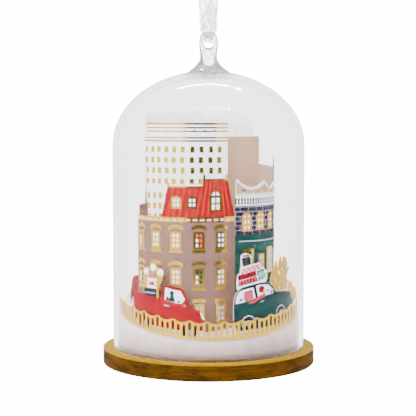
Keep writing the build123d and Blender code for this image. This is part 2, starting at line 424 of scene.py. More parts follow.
def cylinder_of(node):
    """Centre x and y and outer radius, in metres, of the upright cylinder that a sheet is bent to."""
    flat = node_points(node)[:, :2]
    kept = np.ones(len(flat), bool)
    for _ in range(6):
        rows = np.c_[2 * flat[kept], np.ones(kept.sum())]
        x, y, _ = np.linalg.lstsq(rows, (flat[kept] ** 2).sum(1), rcond=None)[0]
        reach = np.hypot(*(flat - (x, y)).T)
        kept = reach > (reach.min() + reach.max()) / 2
    return x, y, reach.max()


def snow_slope():
    """The plane of the snow's top: its height on the axis in metres, and its rises along x and y."""
    points = node_points("snow_block")
    rim = np.hypot(points[:, 0], points[:, 1]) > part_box("snow_block")[1].x - 0.01 * MM
    top = points[rim & (points[:, 2] > high(1))]
    rows = np.c_[np.ones(len(top)), top[:, 0], top[:, 1]]
    return np.linalg.lstsq(rows, top[:, 2], rcond=None)[0]


SNOW = snow_slope()
SNOW_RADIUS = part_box("snow_block")[1].x


def snow_at(x, y):
    """Height in mm of the snow's plane at a place in metres."""
    return (SNOW[0] + SNOW[1] * x + SNOW[2] * y - FACE_Z) / MM


# ---- printed, die-cut card --------------------------------------------------------------------
SHEET_THICK = 0.35
SHEET_FOOT = 1.0  # how deep the drawn sheets stand in the snow
RULE_STEP = 3.0  # degrees between the lines that a sheet bends along
FOOT_STEP = 3.0  # between the points that follow the snow


class Sheet:
    """Shapes printed on a sheet, in painting order. A None ink cuts a hole."""

    def __init__(self, node):
        self.node = node
        self.x, self.y, self.outer = cylinder_of(node)
        self.shapes = []

    def along(self, angle):
        """x on the sheet at an angle in degrees from the front."""
        return radians(angle) * self.outer / MM

    def flat(self, points):
        """Drawing points from (angle, height) points."""
        return [(self.along(angle), height) for angle, height in points]

    def snow(self, x):
        """Height of the snow under x."""
        angle = x * MM / self.outer
        return snow_at(self.x + self.outer * sin(angle), self.y - self.outer * cos(angle))

    def shape(self, ink_used, points):
        area = sum(a[0] * b[1] - b[0] * a[1] for a, b in zip(points, points[1:] + points[:1]))
        self.shapes.append((ink_used, points if area > 0 else points[::-1]))

    def turned(self, ink_used, points):
        """A shape with its points as (angle, height)."""
        self.shape(ink_used, self.flat(points))

    def box(self, ink_used, x, y, width, height):
        """A box standing on y, centred on x."""
        half = width / 2
        self.shape(ink_used, [(x - half, y), (x + half, y), (x + half, y + height), (x - half, y + height)])

    def oval(self, ink_used, x, y, half_width, half_height, count=12):
        turns = [2 * pi * step / count for step in range(count)]
        self.shape(ink_used, [(x + half_width * cos(t), y + half_height * sin(t)) for t in turns])

    def dot(self, ink_used, angle, height, radius, count=12):
        self.oval(ink_used, self.along(angle), height, radius, radius, count)

    def arch(self, ink_used, x, y, width, height, rise, count=6):
        """A box whose top is an arch of a rise."""
        half = width / 2
        turns = [pi * step / count for step in range(count + 1)]
        top = [(x + half * cos(t), y + height - rise + rise * sin(t)) for t in turns]
        self.shape(ink_used, [(x - half, y), (x + half, y), *top])

    def stroke(self, ink_used, points, width):
        """A line of a width through points, as one box per run."""
        for (ax, ay), (bx, by) in zip(points, points[1:]):
            length = hypot(bx - ax, by - ay)
            dx, dy = (bx - ax) / length * width / 2, (by - ay) / length * width / 2
            self.shape(
                ink_used,
                [
                    (ax - dx + dy, ay - dy - dx), (bx + dx + dy, by + dy - dx),
                    (bx + dx - dy, by + dy + dx), (ax - dx - dy, ay - dy + dx),
                ],
            )

    def turned_stroke(self, ink_used, points, width):
        self.stroke(ink_used, self.flat(points), width)

    def ground(self, ink_used, roofline):
        """The sheet itself: a roofline of (angle, height) points closed along the snow below."""
        top = self.flat(roofline)
        first, last = top[0][0], top[-1][0]
        count = max(2, ceil((last - first) / FOOT_STEP))
        foot = [first + (last - first) * step / count for step in range(count, -1, -1)]
        self.shape(ink_used, top + [(x, self.snow(x) - SHEET_FOOT) for x in foot])

    def bend(self, name, back, follow=None, thick=SHEET_THICK):
        """Cuts the drawing into one closed mesh, bent to the sheet's cylinder."""
        points, faces, edges = [], [], []
        for _, polygon in self.shapes:
            faces.append(list(range(len(points), len(points) + len(polygon))))
            points += polygon
        drawn = np.array(points)
        (left, low), (right, top) = drawn.min(0), drawn.max(0)
        pitch = self.along(RULE_STEP)
        for step in range(ceil(left / pitch), ceil(right / pitch)):
            edges.append((len(points), len(points) + 1))
            points += [(step * pitch, low), (step * pitch, top)]
        made = geometry.delaunay_2d_cdt([Vector(p) for p in points], edges, faces, 0, 1e-4, True)
        corners, triangles, owners = made[0], made[2], made[5]
        inks, kept, indices = [back], [], []
        for triangle, shapes in zip(triangles, owners):
            used = self.shapes[max(shapes)][0] if shapes else None
            if used is None:
                continue
            if used not in inks:
                inks.append(used)
            kept.append(tuple(triangle))
            indices.append(inks.index(used))
        used_corners = sorted({corner for triangle in kept for corner in triangle})
        number = {corner: index for index, corner in enumerate(used_corners)}
        kept = [tuple(number[corner] for corner in triangle) for triangle in kept]
        count = len(used_corners)
        vertices = []
        for radius in (self.outer, self.outer - thick * MM):
            for corner in used_corners:
                x, y = corners[corner]
                angle = x * MM / self.outer
                lift = follow(x) if follow else 0.0
                vertices.append(
                    (self.x + radius * sin(angle), self.y - radius * cos(angle), high(y + lift))
                )
        sides = {(t[i], t[(i + 1) % 3]): used for t, used in zip(kept, indices) for i in range(3)}
        walls = sorted((a, a + count, b + count, b) for a, b in sides if (b, a) not in sides)
        inner = [tuple(corner + count for corner in reversed(triangle)) for triangle in kept]
        return new_piece(
            name, vertices, kept + inner + walls, inks,
            indices + [0] * len(inner) + [sides[wall[0], wall[3]] for wall in walls], sharp=35,
        )


def put_sheet(sheet, name, back, slot, **how):
    """Bends a drawing and settles it in place of its CAD sheet."""
    return settle(sheet.bend(name, back, **how), "ornament", slot, sheet.node)


def lattice(sheet, x, y, width, height, columns, rows, pane_inks, bar=0.45, corner=0.0):
    """Panes in columns and rows within a frame, bottom row first."""
    pane_width = (width - bar * (columns + 1)) / columns
    pane_height = (height - bar * (rows + 1)) / rows
    for row in range(rows):
        for column in range(columns):
            centre = x - width / 2 + bar + pane_width / 2 + column * (pane_width + bar)
            foot = y + bar + row * (pane_height + bar)
            chosen = pane_inks[(row * columns + column) % len(pane_inks)]
            if corner:
                sheet.arch(chosen, centre, foot, pane_width, pane_height, corner, 4)
            else:
                sheet.box(chosen, centre, foot, pane_width, pane_height)


# ---- pickup truck -----------------------------------------------------------------------------
TRUCK_OUTLINE = [
    (-56.6, 21.4), (-56.2, 22.2), (-54.6, 22.5), (-45.6, 22.0), (-31.9, 21.0), (-31.2, 22.2), (-30.5, 24.5),
    (-29.6, 25.6), (-28.2, 26.0), (-18.4, 25.2), (-16.8, 24.8), (-15.0, 23.6), (-13.2, 20.6), (-12.3, 18.7),
    (-10.8, 18.3), (-6.0, 17.3), (-4.2, 16.2), (-2.7, 14.9), (-2.1, 13.0),
]
TRUCK_FOOT = [(-3.4, 10.6), (-20, 10.6), (-40, 11.6), (-56.8, 13.4)]
TRUCK_LOAD = [
    (-46.3, 21.5), (-46.1, 24.4), (-45.2, 26.2), (-45.5, 29.2), (-45.0, 30.9), (-43.4, 31.7), (-41.3, 31.1),
    (-39.9, 32.2), (-38.6, 33.2), (-36.8, 33.2), (-35.2, 32.4), (-33.4, 31.2), (-31.2, 31.5), (-29.9, 30.5),
    (-29.8, 29.2), (-30.9, 27.2), (-32.6, 25.6), (-33.6, 24.6), (-33.6, 20.5),
]
BORDER = 0.04  # white card left round a printed shape


def grown(points, reach):
    """A drawing's closed outline pushed outwards."""
    out = []
    for before, here, after in zip(points[-1:] + points[:-1], points, points[1:] + points[:1]):
        first = Vector((here[0] - before[0], here[1] - before[1])).normalized()
        second = Vector((after[0] - here[0], after[1] - here[1])).normalized()
        along = (first + second).normalized()
        corner = max(0.5, along.dot(second))
        out.append((here[0] - along.y * reach / corner, here[1] + along.x * reach / corner))
    return out


def draw_wheel(sheet, angle, height, radius, side=WHITE):
    """A dark tyre with a pale hub, in a narrow arch."""
    sheet.dot(side, angle, height, radius + 0.25, 20)
    sheet.dot(PLUM, angle, height, radius, 20)
    sheet.dot(LILAC, angle, height, radius * 0.45, 12)


def draw_gift(sheet, ink_used, angle, height, width, tall, tilt=0.0, dots=None):
    """A wrapped box standing on a height, turned by a tilt in degrees, with staggered dots."""
    middle, turn = sheet.along(angle), radians(tilt)

    def place(x, y):
        return (middle + x * cos(turn) - y * sin(turn), height + x * sin(turn) + y * cos(turn))

    half = width / 2
    sheet.shape(ink_used, [place(-half, 0), place(half, 0), place(half, tall), place(-half, tall)])
    if dots:
        columns, rows = round(width / 1.1), round(tall / 0.9)
        for row in range(rows):
            for column in range(columns):
                x = -half + width * (column + 0.5 + 0.25 * (-1) ** row) / (columns + 0.5)
                sheet.oval(dots, *place(x, (row + 0.55) * tall / rows), 0.2, 0.2, 8)


def make_truck():
    """A red pickup truck with its bed full of presents."""
    sheet = Sheet("truck_sheet")
    body = sheet.flat(TRUCK_OUTLINE + TRUCK_FOOT)
    sheet.turned(SATIN_GOLD, TRUCK_LOAD)
    sheet.ground(WHITE, [(-56.4, 15.0), (-2.4, 12.2)])
    # the load: a patterned box, a tied parcel, a dotted box, pompoms and paper cones
    sheet.turned(GOLD, [(-45.2, 29.0), (-42.0, 29.2), (-42.2, 26.2), (-44.2, 25.2)])
    sheet.turned(GOLD, [(-34.4, 29.6), (-30.2, 29.2), (-31.5, 26.8), (-34.2, 24.8), (-34.8, 27.0)])
    draw_gift(sheet, NAVY, -40.4, 21.2, 5.9, 3.2, tilt=-2)
    for row, shade in ((21.6, TEAL), (22.6, LILAC), (23.3, TEAL)):
        for step in range(7):
            sheet.oval(shade, sheet.along(-44.3 + 1.31 * step), row + 0.25, 0.3, 0.28, 6)
    draw_gift(sheet, PANE, -39.2, 24.5, 4.1, 3.5, tilt=-3)
    sheet.turned_stroke(CORAL, [(-42.4, 25.8), (-35.8, 25.6)], 0.35)
    sheet.turned_stroke(CORAL, [(-42.6, 26.9), (-36.0, 26.7)], 0.3)
    sheet.oval(RED, sheet.along(-39.6), 26.1, 0.75, 0.45, 8)
    sheet.oval(RED, sheet.along(-38.1), 26.2, 0.7, 0.45, 8)
    draw_gift(sheet, RED, -38.2, 28.0, 2.9, 2.4, tilt=-2, dots=WHITE)
    sheet.turned_stroke(LEAF, [(-40.4, 30.6), (-38.4, 30.3), (-36.4, 30.6)], 0.4)
    for angle, height, radius in ((-43.5, 30.3, 1.15), (-32.1, 30.2, 1.2), (-37.7, 31.8, 1.25)):
        sheet.dot(LILAC, angle, height, radius + 0.1, 14)
        sheet.dot(WHITE, angle, height, radius, 14)
        sheet.dot(CREAM, angle, height - radius * 0.3, radius * 0.35, 8)
    sheet.shape(RED, body)
    # the cab's window with a driver's outline, far too small for a face
    sheet.turned(
        WHITE,
        [
            (-28.3, 25.2), (-23.2, 24.6), (-17.8, 24.2), (-14.9, 21.3), (-17.1, 19.8), (-21.5, 20.0),
            (-28.9, 20.9),
        ],
    )
    sheet.turned(NAVY, [(-27.8, 21.8), (-26.8, 22.2), (-25.3, 21.2), (-25.0, 20.5), (-27.7, 20.8)])
    sheet.turned(
        TEAL,
        [
            (-25.4, 20.5), (-25.2, 22.0), (-24.6, 22.4), (-25.3, 23.3), (-24.6, 24.0), (-23.2, 24.1),
            (-22.0, 23.3), (-22.7, 22.6), (-22.2, 21.8), (-21.3, 20.2),
        ],
    )
    sheet.turned(TEAL, [(-20.3, 20.4), (-19.3, 20.9), (-18.1, 20.6), (-18.4, 20.0)])
    sheet.turned_stroke(CORAL, [(-30.9, 20.7), (-30.7, 15.6)], 0.1)
    sheet.turned_stroke(CORAL, [(-30.2, 20.7), (-29.6, 19.9), (-14.4, 18.7)], 0.1)
    sheet.turned_stroke(LILAC, [(-28.9, 19.0), (-26.0, 18.7)], 0.35)
    sheet.dot(PINK, -15.2, 19.2, 0.4, 8)
    sheet.turned(CREAM, [(-5.2, 16.7), (-4.4, 16.9), (-2.6, 15.0), (-2.2, 14.2), (-4.3, 14.8)])
    for step in range(9):
        first, drop = -55.4 + step * 6, step * 0.52
        crest = [(first, 17.4 - drop), (first + 3, 18.0 - drop), (first + 6, 17.0 - drop)]
        sheet.turned_stroke(CORAL, crest, 0.1)
    draw_wheel(sheet, -46.0, 11.8, 2.5, side=NAVY)
    draw_wheel(sheet, -12.6, 9.9, 2.5, side=NAVY)
    put_sheet(sheet, "printed_truck", WHITE, "printed_card")


# ---- car --------------------------------------------------------------------------------------
CAR_OUTLINE = [
    (15.9, 14.2), (15.8, 18.0), (16.2, 21.2), (17.6, 23.2), (19.5, 24.5), (21.6, 25.3), (27.0, 25.9),
    (33.0, 26.5), (39.0, 26.6), (42.2, 26.2), (45.2, 24.9), (47.9, 22.9), (57.8, 22.4), (65.0, 21.9),
    (69.2, 21.2), (68.9, 19.4), (72.6, 18.8), (76.0, 18.2), (76.0, 17.3), (72.8, 16.6),
]
CAR_FOOT = [(72.0, 13.6), (52, 11.4), (34, 10.6), (18, 10.2)]
CAR_LOAD = [
    (18.0, 24.6), (17.8, 26.8), (18.4, 29.7), (20.2, 30.3), (20.2, 31.8), (20.8, 32.2), (20.6, 36.2),
    (22.0, 36.9), (24.2, 37.2), (27.0, 36.6), (27.9, 36.0), (28.3, 33.1), (34.2, 33.6), (35.6, 32.0),
    (37.3, 31.9), (39.8, 29.9), (40.3, 29.2), (40.0, 27.6), (38.0, 26.2),
]


def make_car():
    """A green car with presents tied to its roof."""
    sheet = Sheet("car_sheet")
    body = sheet.flat(CAR_OUTLINE + CAR_FOOT)
    sheet.turned(WHITE, CAR_LOAD)
    sheet.shape(WHITE, grown(body, BORDER))
    sheet.ground(WHITE, [(16.2, 13.0), (72.6, 15.0)])
    # the roof's load
    sheet.turned(
        LILAC,
        [(18.3, 25.6), (18.6, 26.5), (36.0, 28.7), (39.7, 29.3), (39.4, 28.5), (36.6, 27.4), (20.1, 25.5)],
    )
    sheet.turned(RED, [(18.8, 27.5), (31.4, 29.0), (32.6, 27.6), (31.9, 27.2), (19.4, 25.9)])
    sheet.turned(RED, [(18.4, 29.5), (31.0, 30.9), (32.1, 29.2), (19.0, 27.7)])
    for step in range(6):
        angle = 19.9 + step * 2.1
        foot_height = 27.9 + step * 0.24
        sheet.turned_stroke(PLUM, [(angle, foot_height), (angle - 0.3, foot_height + 1.7)], 0.28)
        sheet.turned_stroke(PINK, [(angle + 0.3, foot_height - 1.5), (angle + 0.2, foot_height - 0.4)], 0.3)
    sheet.turned(LEAF, [(31.8, 30.7), (37.1, 31.5), (39.3, 28.9), (38.6, 28.4), (33.5, 27.6)])
    for step in range(4):
        angle = 32.8 + step * 1.8
        sheet.turned_stroke(WHITE, [(angle, 28.3 + step * 0.15), (angle + 1.6, 30.3 + step * 0.12)], 0.28)
    sheet.turned(PINK, [(20.4, 31.5), (33.9, 33.3), (35.2, 31.4), (21.0, 29.9)])
    for step in range(9):
        angle = 21.6 + step * 1.5
        for rise in (0.35, 1.05):
            sheet.dot(WHITE if (step + (rise > 1)) % 2 else TAUPE, angle, 30.0 + step * 0.17 + rise, 0.27, 8)
    sheet.turned(TEAL, [(21.0, 35.5), (27.2, 36.0), (27.8, 33.2), (22.0, 32.5)])
    sheet.turned_stroke(RED, [(24.2, 35.7), (24.7, 32.9)], 0.45)
    sheet.oval(RED, sheet.along(23.0), 36.2, 0.75, 0.4, 8)
    sheet.oval(RED, sheet.along(25.4), 36.3, 0.8, 0.4, 8)
    sheet.shape(TEAL, body)
    # windows, with parcels, a little tree and a passenger's hat and scarf
    sheet.turned(
        WHITE,
        [
            (17.1, 19.6), (17.6, 21.9), (19.5, 23.8), (22.4, 24.5), (29.4, 25.1), (31.2, 21.4), (26, 20.6),
            (22.0, 20.1),
        ],
    )
    sheet.turned(WHITE, [(31.3, 25.6), (36.0, 25.9), (41.2, 25.6), (43.4, 24.8), (45.9, 22.5), (33.0, 21.4)])
    sheet.turned(RED, [(22.8, 23.7), (28.8, 24.3), (29.6, 21.3), (24.2, 20.4), (22.8, 20.8)])
    for step in range(4):
        rise, drop = step * 0.1, step * 0.65
        sheet.turned_stroke(PINK, [(23.4 + step * 1.7, 23.4 + rise), (24.4 + step * 1.6, 20.8 + rise)], 0.2)
        sheet.turned_stroke(PINK, [(22.9, 23.1 - drop), (29.3, 23.7 - drop)], 0.16)
    sheet.turned(LEAF, [(19.2, 20.4), (20.8, 21.9), (22.2, 20.7)])
    sheet.turned(
        CORAL,
        [
            (26.2, 20.1), (29.9, 20.6), (34.4, 22.2), (38.9, 22.9), (39.0, 21.8), (34.5, 20.9), (29.9, 19.7),
            (27.0, 19.5),
        ],
    )
    sheet.turned(SKIN, [(36.6, 24.0), (38.3, 23.9), (38.0, 22.8), (36.4, 22.8)])
    sheet.turned(
        RED,
        [(33.3, 24.3), (34.2, 25.3), (36.4, 25.5), (38.4, 24.5), (37.0, 23.9), (36.2, 22.9), (34.2, 23.2)],
    )
    sheet.dot(LEAF, 39.8, 23.7, 0.45, 6)
    sheet.dot(RED, 41.4, 23.6, 0.4, 8)
    sheet.dot(TEAL, 44.0, 23.0, 0.55, 8)
    sheet.turned(LILAC, [(43.4, 24.0), (45.4, 24.2), (45.8, 23.4), (43.8, 23.1)])
    sheet.turned_stroke(LILAC, [(35.2, 19.9), (37.4, 20.1)], 0.3)
    for lift in (0.0, 0.9, 1.9):
        sheet.turned_stroke(
            LEAF if lift else GREEN,
            [
                (17.6 + lift, 18.8 - lift), (28.0, 18.4 - lift), (44.0, 19.9 - lift), (58.0, 20.9 - lift),
                (67.0, 20.2 - lift * 0.8),
            ],
            0.12,
        )
    sheet.turned(RED, [(15.9, 14.9), (16.7, 14.9), (16.7, 13.6), (15.9, 13.6)])
    sheet.turned(LILAC, [(72.8, 18.2), (75.8, 18.0), (75.8, 17.4), (73.2, 17.0)])
    draw_wheel(sheet, 26.1, 12.7, 2.5)
    draw_wheel(sheet, 54.0, 14.9, 2.6)
    put_sheet(sheet, "printed_car", WHITE, "printed_card")


# ---- gold trees -------------------------------------------------------------------------------
TREE_CROWN = [
    (44.7, 23.0), (44.7, 27.4), (45.6, 28.2), (46.2, 29.6), (46.6, 30.9), (47.6, 31.0), (48.6, 31.8),
    (49.8, 32.9), (50.7, 33.4), (51.5, 32.6), (51.4, 31.4), (52.5, 30.6), (53.3, 32.2), (53.9, 33.6),
    (54.7, 34.6), (56.0, 34.9), (56.7, 34.0), (56.6, 32.8), (57.4, 32.3), (58.0, 34.0), (58.9, 34.7),
    (60.6, 34.6), (61.9, 34.1), (63.7, 34.0), (64.5, 33.5), (64.3, 32.9), (66.2, 32.0), (66.0, 31.2),
    (64.9, 30.2), (66.5, 30.2), (67.8, 30.5), (69.2, 30.1), (68.8, 29.4), (66.5, 28.5), (64.5, 27.4),
    (64.2, 27.0), (65.8, 26.1), (65.7, 25.5), (64.3, 24.4), (62.8, 23.2), (61.0, 22.6), (60.0, 20.5),
]
TREE_HOLES = [
    [(53.5, 30.4), (52.6, 29.7), (53.4, 28.9), (55.3, 28.1), (56.2, 28.6), (54.6, 29.6)],
    [(50.2, 28.1), (49.2, 27.4), (49.2, 25.6), (50.0, 23.8), (50.8, 23.6), (51.3, 26.4), (51.1, 27.8)],
    [(53.9, 27.8), (52.8, 26.9), (53.0, 24.9), (54.2, 25.5), (54.7, 26.8)],
    [(54.2, 24.6), (53.3, 23.4), (54.6, 22.9), (55.2, 24.1)],
    [(58.9, 31.2), (57.6, 30.5), (58.2, 29.5), (59.6, 29.9), (59.9, 30.9)],
]
TREE_BRANCHES = [  # scorched lines between the branches
    [(47.0, 30.4), (48.2, 28.0), (48.2, 24.4)], [(49.6, 31.8), (50.2, 29.6), (50.2, 28.4)],
    [(46.0, 27.2), (47.4, 24.6), (49.6, 22.6)], [(54.8, 33.8), (55.6, 31.6), (57.2, 29.0), (57.2, 23.0)],
    [(56.6, 32.6), (57.4, 31.2)], [(59.4, 34.0), (60.0, 31.6), (59.6, 28.6), (58.6, 26.0), (58.8, 23.0)],
    [(62.0, 33.6), (61.8, 31.6), (60.6, 29.4)], [(64.4, 32.2), (63.2, 30.4), (61.4, 28.2), (61.0, 24.6)],
    [(67.4, 29.8), (65.0, 28.6), (62.8, 26.6)], [(55.2, 27.6), (55.8, 25.4), (55.4, 23.2)],
    [(52.2, 29.4), (51.8, 27.4), (52.0, 24.4)], [(64.6, 25.6), (62.6, 25.2), (61.2, 23.6)],
]


def make_trees():
    """Two laser-cut bare trees: lobes of fine branches, holed between them."""
    sheet = Sheet("gold_tree_sheet")
    sheet.ground(TREE_GOLD, TREE_CROWN)
    for branch in TREE_BRANCHES:
        sheet.turned_stroke(CUT_EDGE, branch, 0.2)
    for hole in TREE_HOLES:
        sheet.turned(None, hole)
    put_sheet(sheet, "gold_trees", TREE_GOLD, "gold_foil_card")


# ---- brownstone -------------------------------------------------------------------------------
BROWNSTONE_COLUMNS = (-60.7, -38.7, -17.3, 4.8, 26.2)


def draw_hood(sheet, x, y, width, rise, thick):
    """An eyebrow moulding: a band between two arcs, its ends cut square."""
    count = 8
    half = width / 2

    def arc(step, lift):
        share = -1 + 2 * step / count
        return (x + half * share, y + rise * (1 - share * share) + lift)

    low = [arc(step, 0) for step in range(count + 1)]
    sheet.shape(GOLD, low + [arc(step, thick) for step in range(count, -1, -1)])


def mirrored(x, half):
    """An outline from one half, in order up from its foot, mirrored on x."""
    return half + [(2 * x - px, py) for px, py in half[::-1]]


def draw_sill(sheet, x, y, top, bottom, tall):
    """A window sill whose foot spreads below a straight upper edge."""
    spread, narrow = x + bottom / 2, x + top / 2
    right = [(spread, y), (spread, y + tall * 0.35), (narrow, y + tall * 0.6), (narrow, y + tall)]
    sheet.shape(GOLD, mirrored(x, right))


CORNICE = 49.3  # the brownstone's wall top
ROOFLINE = [
    (-69.2, CORNICE), (-31.8, CORNICE), (-25.3, 59.6), (-25.2, 60.7), (-24.6, 61.3), (-24.0, 60.7),
    (-23.9, 60.1), (7.7, 60.1), (8.9, 62.0), (8.9, 63.5), (9.8, 64.2), (10.6, 63.5), (10.8, 62.6),
    (31.8, 62.6), (31.5, 63.5), (32.3, 64.2), (33.1, 63.5), (33.4, 62.2), (41.4, CORNICE),
    (42.8, CORNICE), (42.8, CORNICE - 0.9), (41.6, CORNICE - 1.6),
]


def make_brownstone():
    """A taupe town house with hooded windows and a red mansard roof."""
    sheet = Sheet("brownstone_sheet")
    sheet.ground(TAUPE, ROOFLINE)
    # mansard roof in two parts with thin ribs
    left_roof = [(-31.8, CORNICE), (4.6, CORNICE), (7.8, 59.8), (-25.2, 59.8)]
    right_roof = [(1.8, CORNICE), (41.4, CORNICE), (33.2, 62.2), (9.2, 62.2)]
    for part, ribs in ((left_roof, 6), (right_roof, 7)):
        sheet.turned(ROOF_RED, part)
        (b0, low), (b1, _), (t1, top), (t0, _) = part
        for rib in range(1, ribs):
            share = rib / ribs
            sheet.turned_stroke(RIB, [(b0 + (b1 - b0) * share, low), (t0 + (t1 - t0) * share, top)], 0.17)
    sheet.turned_stroke(RIB, [(1.8, CORNICE), (9.2, 62.2)], 0.14)
    sheet.turned_stroke(GOLD, [(-25.2, 59.85), (8.2, 59.85)], 0.5)
    sheet.turned_stroke(GOLD, [(9.0, 62.3), (33.4, 62.3)], 0.62)
    for angle, low, top in ((-24.6, 59.8, 61.2), (9.8, 62.0, 64.1), (32.3, 62.0, 64.1)):
        sheet.turned_stroke(GOLD, [(angle, low), (angle, top - 0.4)], 0.55)
        sheet.dot(GOLD, angle, top - 0.5, 0.48, 8)
    # dormers and the arched attic window
    for angle in (-16.8, -1.6):
        x = sheet.along(angle)
        sheet.shape(GOLD, [(x - 1.75, 52.3), (x + 1.75, 52.3), (x + 1.7, 56.2), (x, 56.7), (x - 1.7, 56.2)])
        lattice(sheet, x, 52.7, 3.0, 3.5, 2, 2, (PANE,), bar=0.4, corner=0.25)
    x = sheet.along(20.8)
    sheet.arch(GOLD, x, 51.2, 4.7, 7.4, 2.5, 10)
    lattice(sheet, x, 51.4, 3.9, 5.1, 2, 2, (PANE,), bar=0.5)
    for side in (-1, 1):
        fanlight = ((1.62, 56.8), (0.26, 56.8), (0.26, 58.15), (0.9, 57.9))
        sheet.shape(PANE, [(x + side * out, height) for out, height in fanlight])
    # cornice with dentils under a red edge
    cornice = [(-69.2, CORNICE), (-69.2, 47.5), (41.8, 47.5), (42.8, CORNICE - 0.9), (42.8, CORNICE)]
    sheet.turned(GOLD, cornice)
    sheet.turned_stroke(DUSTY_RED, [(-69.0, CORNICE - 0.12), (-32.0, CORNICE - 0.12)], 0.22)
    pitch, first, last = 2.45, sheet.along(-68.4), sheet.along(41.8)
    for number in range(int((last - first) / pitch)):
        sheet.box(BLUSH, first + (number + 0.5) * pitch, 48.0, 1.6, 0.72)
    # three storeys of windows
    curtains = {(0, 0): CORAL, (3, 0): CORAL, (0, 1): TEAL, (3, 1): TEAL}
    for column, angle in enumerate(BROWNSTONE_COLUMNS):
        x = sheet.along(angle)
        for row, (hood, foot, top, sill) in enumerate(((45.3, 38.3, 44.3, 36.9), (32.7, 25.5, 31.6, 23.8))):
            draw_hood(sheet, x, hood - 0.75, 5.2, 0.95, 1.3)
            sheet.box(GOLD, x, foot, 3.9, top - foot)
            curtain = curtains.get((column, row))
            panes = (PANE,) if curtain is None else (PANE, curtain, PANE, curtain, curtain, curtain)
            lattice(sheet, x, foot + 0.15, 3.3, top - foot - 0.3, 2, 3, panes, bar=0.55, corner=0.3)
            draw_sill(sheet, x, sill, 4.3, 4.9, 1.25)
        draw_hood(sheet, x, 19.4, 4.6, 0.35, 1.3)
        sheet.box(GOLD, x, 12.6, 3.7, 6.6)
        lattice(sheet, x, 12.8, 3.2, 6.1, 2, 3, (LILAC,), bar=0.55, corner=0.4)
        sheet.box(TAUPE, x, 10.2, 4.0, 2.2)
    put_sheet(sheet, "printed_brownstone", WHITE, "printed_card")


# ---- shop -------------------------------------------------------------------------------------
SHOP_LEFT, SHOP_RIGHT = 9.3, 96.0
SHOP_PARAPET = [
    (9.3, 55.1), (9.8, 61.0), (10.5, 61.8), (11.6, 62.0), (13.8, 61.3), (18.4, 60.2), (24.4, 59.3),
    (32.1, 59.0), (39.1, 59.6), (44.6, 60.4), (49.7, 61.2), (53.6, 60.4), (59.2, 58.8), (64.6, 58.5),
    (69.0, 59.4), (74.4, 60.4), (79.0, 59.6), (84.0, 58.7), (96.0, 58.7),
]


